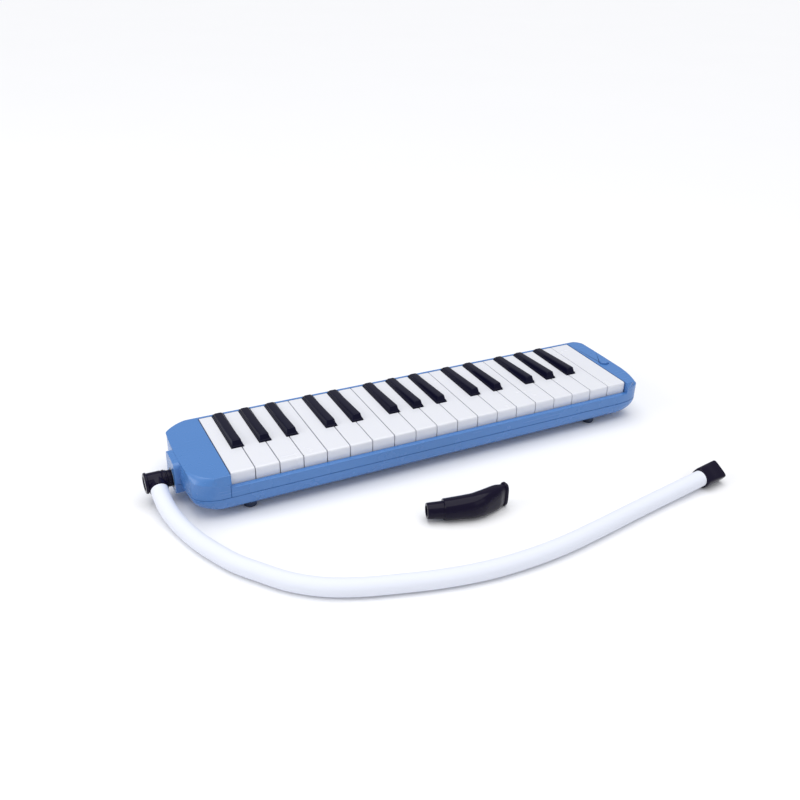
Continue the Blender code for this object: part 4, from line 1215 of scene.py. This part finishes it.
@dataclass
class ShortMouthpiece:
    """Loose mouthpiece that plugs straight into the blowing socket; it lies on its side."""

    body: str = "loose_mouthpiece"
    start: Point2 = (127.1 * MM, -66.4 * MM)
    turn: float = math.radians(-16.0)
    bore: Point2 = (4.2 * MM, 28.0 * MM)
    shape: Mouthpiece = field(default_factory=lambda: Mouthpiece(
        "short_lip_piece", (
            Section(0.0, 0.0, 5.6, 5.6, 8.5, 0.0, 2.0), Section(0.2, 0.0, 5.95, 5.95, 8.5, 0.0, 2.0),
            Section(0.8, 0.0, 6.15, 6.15, 8.5, 0.0, 2.0), Section(12.5, 0.0, 6.85, 6.85, 8.5, 0.0, 2.0),
            Section(12.6, 0.0, 7.9, 7.9, 8.6, 0.0, 2.0), Section(13.0, 0.0, 8.25, 8.25, 8.6, 0.0, 2.0),
            Section(25.0, 0.0, 8.6, 8.9, 9.2, 0.0, 2.0), Section(34.0, -0.1, 8.5, 9.5, 9.8, 3.0, 2.1),
            Section(41.0, 1.2, 8.0, 9.9, 10.2, 13.0, 2.3), Section(46.0, 3.2, 7.2, 10.0, 10.3, 20.0, 2.5),
            Section(55.0, 7.5, 5.9, 9.8, 10.3, 24.0, 3.0), Section(61.1, 10.3, 3.7, 9.0, 10.3, 24.0, 3.2),
            Section(61.3, 10.4, 4.2, 9.7, 10.3, 24.0, 3.2), Section(61.8, 10.6, 4.4, 10.0, 10.3, 24.0, 3.2),
            Section(63.1, 11.2, 4.4, 10.0, 10.3, 24.0, 3.2),
            Section(63.6, 11.4, 4.1, 9.6, 10.3, 24.0, 3.2))))

    def build(self) -> None:
        """Builds the mouthpiece where it lies."""
        origin = Vector((SITE.keys_left + self.start[0], SITE.keys_front + self.start[1], 0.0))
        place = Matrix.Translation(origin) @ Matrix.Rotation(self.turn, 4, "Z")
        piece = self.shape.form(place)
        radius, depth = self.bore
        centre = self.shape.sections[0].lift * MM
        bore = Form.rod("bore", (-MM, 0.0, centre), (depth, 0.0, centre), radius)
        bore.piece.data.transform(place)
        piece.carve(bore)
        piece.carve(self.shape.opening(place, (1.5, 7.6), 14.0))
        piece.soften(0.2 * MM, 2, 50.0)
        piece.done(JET, self.body, "black_plastic", "short_mouthpiece")


# ---- case ---------------------------------------------------------------------------------------
@dataclass
class Case:
    """Upper and lower halves of the blue case, with feet, screws and drain button.

    Each corner is (width, depth, power), from the rear treble corner counter-clockwise.
    """

    body: str = "case"
    wall: float = 2.3 * MM
    low_bulge: Point2 = (4.6 * MM, 0.6 * MM)
    top_bulge: Point2 = (1.8 * MM, 0.6 * MM)
    low_corners: tuple[tuple[float, float, float], ...] = (
        (9.0 * MM, 10.0 * MM, 2.0), (11.0 * MM, 11.0 * MM, 2.0),
        (22.0 * MM, 12.0 * MM, 2.0), (25.0 * MM, 9.0 * MM, 2.0))
    top_corners: tuple[tuple[float, float, float], ...] = (
        (9.0 * MM, 9.0 * MM, 1.8), (21.0 * MM, 15.0 * MM, 1.35),
        (21.0 * MM, 23.0 * MM, 1.3), (9.0 * MM, 34.0 * MM, 1.8))
    shoulder_drop: float = 7.0 * MM
    slope_drop: float = 4.6 * MM
    facet_lean: float = 2.4 * MM
    facet_height: float = 7.5 * MM
    hull_run: Point2 = (20.0 * MM, 7.6 * MM)
    hull_drop: float = 11.2 * MM
    rail_gap: float = 0.5 * MM
    boss_half: float = 12.8 * MM
    boss_top_drop: float = 0.5 * MM
    boss_bottom: float = 9.0 * MM
    seam_gap: float = 0.3 * MM
    parting_gap: float = 0.12 * MM

    def build(self) -> None:
        """Builds both halves and the small pieces on them."""
        self._upper()
        self._lower()
        self._feet()
        self._screws()
        self._button()

    @staticmethod
    def _plan(inset: Point2, corners: Sequence[tuple[float, float, float]], bulge: Point2,
              steps: int = 18) -> list[Point2]:
        """Outline seen from above, with bulged ends.

        Args:
            inset: Distance inside the full outline at the ends, and at the front and rear.
            corners: (width, depth, power) of each corner.
            bulge: How far the bass and treble ends swell out in their middles.
            steps: Facets in each corner.

        Returns:
            The outline, counter-clockwise.
        """
        left, right = SITE.left + inset[0], SITE.right - inset[0]
        front, rear = SITE.front + inset[1], SITE.rear - inset[1]
        shrunk = [(max(a - inset[0], MM), max(b - inset[1], MM), power) for a, b, power in corners]
        points: list[Point2] = []
        centres = ((right, rear, -1, -1), (left, rear, 1, -1), (left, front, 1, 1), (right, front, -1, 1))
        for quarter, ((a, b, power), (x, y, sx, sy)) in enumerate(zip(shrunk, centres)):
            points += corner((x + sx * a, y + sy * b), (a, b), quarter, power, steps)
            if quarter in (1, 3):
                following = shrunk[(quarter + 1) % 4]
                end = front + following[1] if quarter == 1 else rear - following[1]
                begin = y + sy * b
                points += [(x, begin + (end - begin) * i / 8) for i in range(1, 8)]
        middle, half, reach = (front + rear) / 2, (rear - front) / 2, 30.0 * MM
        bulged = []
        for x, y in points:
            swell = ((y - middle) / half) ** 2
            near_left = max(0.0, 1.0 - (x - left) / reach)
            near_right = max(0.0, 1.0 - (right - x) / reach)
            bulged.append((x + swell * (bulge[0] * near_left - bulge[1] * near_right), y))
        return bulged

    def _boss(self, low: float, high: float, round_top: bool) -> Form:
        """Half of the boss round the blowing socket.

        Args:
            low: Its lowest height.
            high: Its highest height.
            round_top: Whether its top is rounded rather than its bottom.

        Returns:
            The form.
        """
        y, radius, reach = SITE.inlet[0], 4.5 * MM, 10.0 * MM
        bottom = low - reach if round_top else low
        top = high if round_top else high + reach
        outline = rounded_block((y - self.boss_half, bottom), (y + self.boss_half, top), radius, 7)
        boss = Form.prism("boss", outline, SITE.boss_x, SITE.left + 3 * self.wall, "X")
        limit = (low - 2 * reach, low) if round_top else (high, high + 2 * reach)
        side = 2 * self.boss_half
        boss.carve(Form.block("boss_limit", (SITE.boss_x - reach, y - side, limit[0]),
                              (SITE.left + 2 * reach, y + side, limit[1])))
        return boss.settle()

    def _passage(self) -> Form:
        """Round way through the boss for the blowing socket.

        Returns:
            The form to cut with.
        """
        low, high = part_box("inlet_socket")
        socket = (high.z - low.z) / 2
        return Form.rod("passage", (SITE.boss_x - 2 * MM, *SITE.inlet),
                        (SITE.boss_x + 15.0 * MM, *SITE.inlet), socket + FIT, 48)

    def _upper_skin(self, base: float) -> Form:
        """Outer skin of the upper half: upright walls, then shoulders that flow into the top.

        The shoulders are steep along the straight sides and slope gently at the bass front corner,
        where the top outline lies far inside the wall.

        Args:
            base: Height of its lower edge.

        Returns:
            The closed skin.
        """
        top = SITE.key_top
        wall = self._plan((0.0, 0.0), self.low_corners, self.low_bulge)
        crown = self._plan((0.7 * MM, 0.7 * MM), self.top_corners, self.top_bulge)
        drops = []
        for (wall_x, wall_y), (crown_x, crown_y) in zip(wall, crown):
            gap = math.hypot(crown_x - wall_x, crown_y - wall_y)
            share = min(max((gap - 1.5 * MM) / (5.0 * MM), 0.0), 1.0)
            drops.append(self.shoulder_drop + (self.slope_drop - self.shoulder_drop) * share)
        lip = self._plan((0.15 * MM, 0.15 * MM), self.low_corners, self.low_bulge)
        rings = [[(x, y, base) for x, y in lip], [(x, y, base + 0.15 * MM) for x, y in wall]]
        for step in range(0, 11):
            share = step / 10
            ring = []
            for (wall_x, wall_y), (crown_x, crown_y), drop in zip(wall, crown, drops):
                ring.append((wall_x + (crown_x - wall_x) * share, wall_y + (crown_y - wall_y) * share,
                             top - drop * (1 - share) ** 1.7))
            rings.append(ring)
        return Form.loft("upper_shell", rings)

    def _upper(self) -> None:
        """Upper half with its key window, front ledge, boss, seam and button well."""
        base, top = SITE.parting + self.parting_gap, SITE.key_top
        upper = self._upper_skin(base)
        upper.carve(self._boss(base, top - self.boss_top_drop, True), Cut.JOINED)
        window_left, window_right = SITE.keys_left - self.rail_gap, SITE.keys_right + self.rail_gap
        reach, lean, rise = 30.0 * MM, self.facet_lean, self.facet_height
        foot = top - rise
        upper.carve(Form.prism("front_facet",
                               [(SITE.front - 2 * lean, foot - 2 * rise),
                                (SITE.front + 3 * lean, top + 2 * rise),
                                (SITE.front - reach, top + 2 * rise),
                                (SITE.front - reach, foot - 2 * rise)],
                               SITE.left - reach, SITE.right + reach, "X"))
        upper.carve(Form.block("key_window", (window_left, SITE.keys_front - self.rail_gap, base - reach),
                               (window_right, SITE.keys_rear + self.rail_gap, top + reach)))
        upper.carve(Form.block("rail_cut", (window_left, SITE.front - reach, SITE.ledge),
                               (window_right, SITE.keys_front, top + reach)))
        seam = window_left - 1.0 * MM
        upper.carve(Form.block("seam", (seam, SITE.front - reach, base - reach),
                               (seam + self.seam_gap, SITE.front + 0.6 * MM, SITE.ledge + reach)))
        ceiling = top - self.shoulder_drop - self.wall
        for name, low_x, high_x in (
                ("bass_hollow", SITE.left + 6 * self.wall, window_left - self.wall),
                ("treble_hollow", window_right + self.wall, SITE.right - 2.6 * self.wall)):
            upper.carve(Form.block(name, (low_x, SITE.front + 6 * self.wall, base - reach),
                                   (high_x, SITE.rear - 5 * self.wall, ceiling)))
        x, y = SITE.button
        upper.carve(Form.rod("well", (x, y, base), (x, y, top + reach), 4.5 * MM, 64))
        upper.carve(self._passage())
        upper.soften(0.3 * MM, 3, 40.0)
        upper.done(BLUE, self.body, "blue_plastic", "upper_case")

    def _hull(self, name: str, inset: float, lift: float, overshoot: float) -> Form:
        """Boat-shaped skin of the lower half.

        Args:
            name: The form's name.
            inset: Distance inside the outer skin.
            lift: Height of its bottom above the case's bottom.
            overshoot: How far it runs up past the parting line.

        Returns:
            The form.
        """
        base, top = SITE.bottom + lift, SITE.parting
        run_x, run_y, drop = self.hull_run[0], self.hull_run[1], self.hull_drop
        rings = []
        for degrees in range(0, 91, 9):
            turn = math.radians(degrees)
            share, rise = 1 - math.sin(turn), (drop - lift * 0.5) * (1 - math.cos(turn))
            plan = self._plan((inset + run_x * share, inset + run_y * share), self.low_corners,
                              self.low_bulge)
            rings.append([(x, y, base + rise) for x, y in plan])
        for edge, height in ((0.0, top - 0.15 * MM), (0.15 * MM, top)) if not overshoot else (
                (0.0, top + overshoot),):
            plan = self._plan((inset + edge, inset + edge), self.low_corners, self.low_bulge)
            rings.append([(x, y, height) for x, y in plan])
        return Form.loft(name, rings)

    def _lower(self) -> None:
        """Tray-shaped lower half with its rounded hull, foot pads, screw sinks and drain."""
        base, top = SITE.bottom, SITE.parting
        lower = self._hull("lower_shell", 0.0, 0.0, 0.0)
        lower.carve(self._boss(self.boss_bottom, top, False), Cut.JOINED)
        x, y = SITE.button
        lower.carve(Form.rod("drain_pad", (x, y, base), (x, y, base + 5.0 * MM), 5.2 * MM, 48),
                    Cut.JOINED)
        for node in sorted(name for name in frame["nodes"] if name.endswith("_foot")):
            low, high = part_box(node)
            place = ((low.x + high.x) / 2, (low.y + high.y) / 2)
            lower.carve(Form.rod("foot_pad", (*place, base), (*place, base + 4.0 * MM),
                                 (high.x - low.x) / 2 + 0.3 * MM, 40), Cut.JOINED)
        lower.carve(self._hull("tray", self.wall, self.wall, 5.0 * MM))
        for number in range(1, 5):
            low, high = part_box(f"case_screw_{number}")
            place, radius = ((low.x + high.x) / 2, (low.y + high.y) / 2), (high.x - low.x) / 2
            lower.carve(Form.rod("ring", (*place, base), (*place, base + 4.0 * MM), radius + 1.0 * MM),
                        Cut.JOINED)
            lower.carve(Form.rod("sink", (*place, base - MM), (*place, base + 2.3 * MM), radius + FIT))
            lower.carve(Form.rod("through", (*place, base), (*place, base + 6.0 * MM), 1.6 * MM))
        lower.carve(Form.rod("drain", (x, y, base - MM), (x, y, base + 3.4 * MM), 3.7 * MM, 48))
        lower.carve(Form.rod("drain_way", (x, y, base - MM), (x, y, base + 7.0 * MM), 2.1 * MM))
        lower.carve(self._passage())
        lower.soften(0.25 * MM, 2, 45.0)
        lower.done(BLUE, self.body, "blue_plastic", "lower_case")

    def _feet(self) -> None:
        """Round rubber feet with a softened edge."""
        for node in sorted(name for name in frame["nodes"] if name.endswith("_foot")):
            low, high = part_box(node)
            radius, height, edge = (high.x - low.x) / 2, high.z, 1.2 * MM
            place = Matrix.Translation(((low.x + high.x) / 2, (low.y + high.y) / 2, 0.0))
            dome = [(radius - edge + edge * math.sin(math.radians(a)),
                     edge - edge * math.cos(math.radians(a))) for a in range(0, 91, 15)]
            profile = [(0.0, 0.25 * MM), (1.2 * MM, 0.25 * MM), (1.6 * MM, 0.0)] + dome
            profile += [(radius, height - 0.3 * MM), (radius - 0.3 * MM, height), (0.0, height)]
            foot = Form.turned(f"{node}_pad", profile, place, 40)
            foot.done(FOOT_RUBBER, self.body, "navy_rubber", node)

    def _screws(self) -> None:
        """Case screws with cross recesses."""
        for number in range(1, 5):
            node = f"case_screw_{number}"
            low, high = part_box(node)
            radius, head = (high.x - low.x) / 2, 1.7 * MM
            shank, x, y = 1.3 * MM, (low.x + high.x) / 2, (low.y + high.y) / 2
            tip = high.z - low.z
            profile = [(0.0, 0.0), (radius - 0.7 * MM, 0.0), (radius - 0.2 * MM, 0.25 * MM),
                       (radius, 0.7 * MM), (radius, head - 0.2 * MM), (radius - 0.2 * MM, head),
                       (shank, head)]
            height = head + 0.5 * MM
            while height + MM < tip - MM:
                profile += [(shank, height), (shank - 0.3 * MM, height + 0.35 * MM),
                           (shank, height + 0.7 * MM)]
                height += 0.9 * MM
            profile += [(shank - 0.3 * MM, tip - MM), (0.0, tip)]
            screw = Form.turned(f"screw_{number}", profile, Matrix.Translation((x, y, low.z)), 28)
            arm, half = radius * 0.55, 0.32 * MM
            for sides in ((arm, half), (half, arm)):
                screw.carve(Form.block("recess", (x - sides[0], y - sides[1], low.z - MM),
                                       (x + sides[0], y + sides[1], low.z + 0.9 * MM)))
            screw.done(SCREW_STEEL, self.body, "steel", node)

    def _button(self) -> None:
        """Drain button with a shallow dish for the fingertip."""
        low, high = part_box("drain_button")
        radius, top = (high.x - low.x) / 2, high.z
        skirt = SITE.key_top - 2.4 * MM
        stem = 1.5 * MM
        edge = 0.9 * MM
        profile = [(0.0, low.z), (stem - 0.2 * MM, low.z), (stem, low.z + 0.2 * MM), (stem, skirt),
                   (radius - 0.2 * MM, skirt), (radius, skirt + 0.2 * MM)]
        profile += [(radius - edge + edge * math.cos(math.radians(a)),
                     top - edge + edge * math.sin(math.radians(a))) for a in range(0, 91, 15)]
        profile += [(radius * 0.55, top - 0.15 * MM), (radius * 0.3, top - 0.28 * MM),
                    (0.0, top - 0.32 * MM)]
        place = Matrix.Translation((*SITE.button, 0.0))
        button = Form.turned("drain_button_cap", profile, place, 64)
        button.done(BLUE, "drain_plunger", "blue_plastic", "drain_button")


# ---- keyboard -----------------------------------------------------------------------------------
@dataclass
class Keyboard:
    """White and black keys, each with its lever rib, pivot eye and valve pad."""

    plate: float = 3.0 * MM
    lip: float = 10.8 * MM
    lip_wall: float = 2.4 * MM
    nose: float = 1.7 * MM
    side: float = 5.2 * MM
    side_wall: float = 1.6 * MM
    rib: float = 5.0 * MM
    rod_radius: float = 1.5 * MM
    sharp_top: float = 6.4 * MM
    sharp_lean: float = 2.2 * MM
    sharp_rear_rise: float = 2.2 * MM
    sharp_edge: float = 0.8 * MM
    sharp_foot: float = 1.3 * MM
    sharp_step: float = 0.6 * MM
    side_gap: float = 0.14 * MM

    def build(self) -> None:
        """Builds every key on its own body."""
        sharps = [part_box(f"black_key_{number:02d}") for number in range(1, SITE.black_count + 1)]
        for number in range(1, SITE.white_count + 1):
            self._white(number, sharps)
        for number, (low, high) in enumerate(sharps, start=1):
            self._black(number, low, high)

    def _lever(self, x: float, top: float) -> Form:
        """Rib under a key, with the eye for the pivot rod and the pad over its tone hole.

        Args:
            x: Centre of the rib.
            top: Height of its upper face.

        Returns:
            The form of the lever.
        """
        y, z = SITE.pivot
        eye = self.rod_radius + 1.5 * MM
        pad_low, pad_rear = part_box("white_key_01")[0].z, SITE.keys_rear - 6.3 * MM
        pad_front = pad_rear - 9.0 * MM
        front = y - 30.0 * MM
        under = [(y + eye * math.cos(math.radians(a)), z + eye * math.sin(math.radians(a)))
                 for a in range(225, 346, 20)]
        outline = [(front, top), (front, top - 2.2 * MM), *under, (pad_front, pad_low + 1.0 * MM),
                   (pad_front, pad_low), (pad_rear, pad_low), (pad_rear, top)]
        return Form.prism("lever", outline, x - self.rib / 2, x + self.rib / 2, "X")

    def _rod_hole(self, low: float, high: float) -> Form:
        """Hole for the pivot rod."""
        return Form.rod("rod_hole", (low - MM, *SITE.pivot), (high + MM, *SITE.pivot),
                        self.rod_radius + FIT, 24)

    def _white(self, number: int, sharps: Sequence[tuple[Vector, Vector]]) -> None:
        """One white key.

        Args:
            number: Its number from the bass end.
            sharps: Boxes of the black keys.
        """
        node = f"white_key_{number:02d}"
        box_low, box_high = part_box(node)
        left, right = box_low.x + self.side_gap, box_high.x - self.side_gap
        front, rear, top = box_low.y, box_high.y, SITE.key_top
        nose = [(front + self.nose - self.nose * math.sin(math.radians(a)),
                 top - self.nose + self.nose * math.cos(math.radians(a))) for a in range(0, 91, 15)]
        outline = nose + [(front, top - self.lip), (front + 14.0 * MM, top - self.lip),
                          (front + 22.0 * MM, top - self.side), (rear, top - self.side), (rear, top)]
        key = Form.prism(f"{node}_top", outline, left, right, "X")
        reach = 20.0 * MM
        key.carve(Form.block("underside", (left + self.side_wall, front + self.lip_wall, top - reach),
                             (right - self.side_wall, rear - self.side_wall, top - self.plate)))
        tail_left, tail_right = left, right
        middle = (left + right) / 2
        for sharp_low, sharp_high in sharps:
            notch_left, notch_right = sharp_low.x - KEY_GAP, sharp_high.x + KEY_GAP
            if notch_right <= left or notch_left >= right:
                continue
            if notch_left < middle and sharp_low.x < left:
                tail_left = notch_right
            else:
                tail_right = notch_left
            key.carve(Form.block("notch", (notch_left, sharp_low.y - KEY_GAP, top - reach),
                                 (notch_right, rear + reach, top + reach)))
        key.carve(self._lever((tail_left + tail_right) / 2, top - self.plate / 2), Cut.JOINED)
        key.carve(self._rod_hole(left, right))
        key.soften(0.32 * MM, 3, 40.0)
        key.done(IVORY, f"{node}_lever", "white_plastic", node)

    def _black(self, number: int, low: Vector, high: Vector) -> None:
        """One black key, narrower and lower towards its tail.

        Args:
            number: Its number from the bass end.
            low: Lowest corner of its solid.
            high: Highest corner of its solid.
        """
        node = f"black_key_{number:02d}"
        top, skirt = SITE.key_top, SITE.key_top - self.plate
        x, width = (low.x + high.x) / 2, high.x - low.x
        front, rear = low.y, high.y
        rise_front, rise_rear = high.z - top, self.sharp_rear_rise
        edge, foot, step = self.sharp_edge, self.sharp_foot, self.sharp_step
        rings = [self._sharp_ring(x, front, rear, width, skirt, skirt, 0.6 * MM),
                 self._sharp_ring(x, front, rear, width, top + foot - 0.25 * MM,
                                  top + foot - 0.25 * MM, 0.6 * MM),
                 self._sharp_ring(x, front + 0.1 * MM, rear, width - 0.2 * MM, top + foot - 0.07 * MM,
                                  top + foot - 0.07 * MM, 0.6 * MM),
                 self._sharp_ring(x, front + 0.3 * MM, rear, width - 0.6 * MM, top + foot,
                                  top + foot, 0.7 * MM),
                 self._sharp_ring(x, front + step, rear, width - 2 * step, top + foot + 0.08 * MM,
                                  top + foot + 0.08 * MM, 0.8 * MM)]
        for degrees in (0, 22.5, 45, 67.5, 90):
            turn = math.radians(degrees)
            inset, drop = edge * (1 - math.cos(turn)), edge * (1 - math.sin(turn))
            narrow = self.sharp_top + edge * 0.5 - 2 * inset
            ring_front = front + self.sharp_lean - edge * 0.3 + inset
            rings.append(self._sharp_ring(x, ring_front, rear - 0.1 * MM - inset * 0.5, narrow,
                                          top + rise_front - drop, top + rise_rear - drop, 1.0 * MM))
        key = Form.loft(f"{node}_top", rings)
        key.carve(self._lever(x, skirt + self.plate / 2), Cut.JOINED)
        key.carve(self._rod_hole(low.x, high.x))
        key.done(EBONY, f"{node}_lever", "black_plastic", node)

    @staticmethod
    def _sharp_ring(x: float, front: float, rear: float, width: float, z_front: float, z_rear: float,
                    radius: float) -> list[tuple[float, float, float]]:
        """Round-cornered ring of a black key, sloping from front to rear."""
        outline = rounded_block((x - width / 2, front), (x + width / 2, rear), radius, 4)
        return [(u, v, z_front + (z_rear - z_front) * (v - front) / (rear - front)) for u, v in outline]


# ---- inner pieces -------------------------------------------------------------------------------
@dataclass
class Works:
    """Solids of the frame that keep their own shape and get a finish."""

    finishes: tuple[tuple[str, Finish, str], ...] = (
        ("pivot_rod", STEEL, "steel"), ("key_spring_comb", STEEL, "steel"),
        ("drain_spring", SPRING_STEEL, "steel"), ("key_stop_felt", FELT, "green_felt"),
        ("key_deck", GREY, "grey_plastic"), ("wind_chest", GREY, "grey_plastic"),
        ("wind_duct", GREY, "grey_plastic"), ("inlet_socket", GREY, "grey_plastic"),
        ("chest_gasket", SILICONE, "grey_silicone"), ("elbow_seal_ring", SILICONE, "grey_silicone"),
        ("drain_valve", SILICONE, "grey_silicone"), ("bass_reed_plate", BRASS, "reed_brass"),
        ("treble_reed_plate", BRASS, "reed_brass"))

    def build(self) -> None:
        """Dresses each solid."""
        for node, finish, slot in self.finishes:
            piece = frame["nodes"][node]
            finish.dress(piece)
            LOG.info("%s keeps its solid", node)


def main() -> None:
    """Builds the studio and every part of the instrument."""
    logging.basicConfig(level=logging.INFO, format="%(name)s: %(message)s")
    for part in (Studio(), BlowingHose(), ShortMouthpiece(), Case(), Keyboard(), Works()):
        LOG.info("building %s", type(part).__name__)
        part.build()
    bpy.context.view_layer.update()


if __name__ == "__main__":
    main()
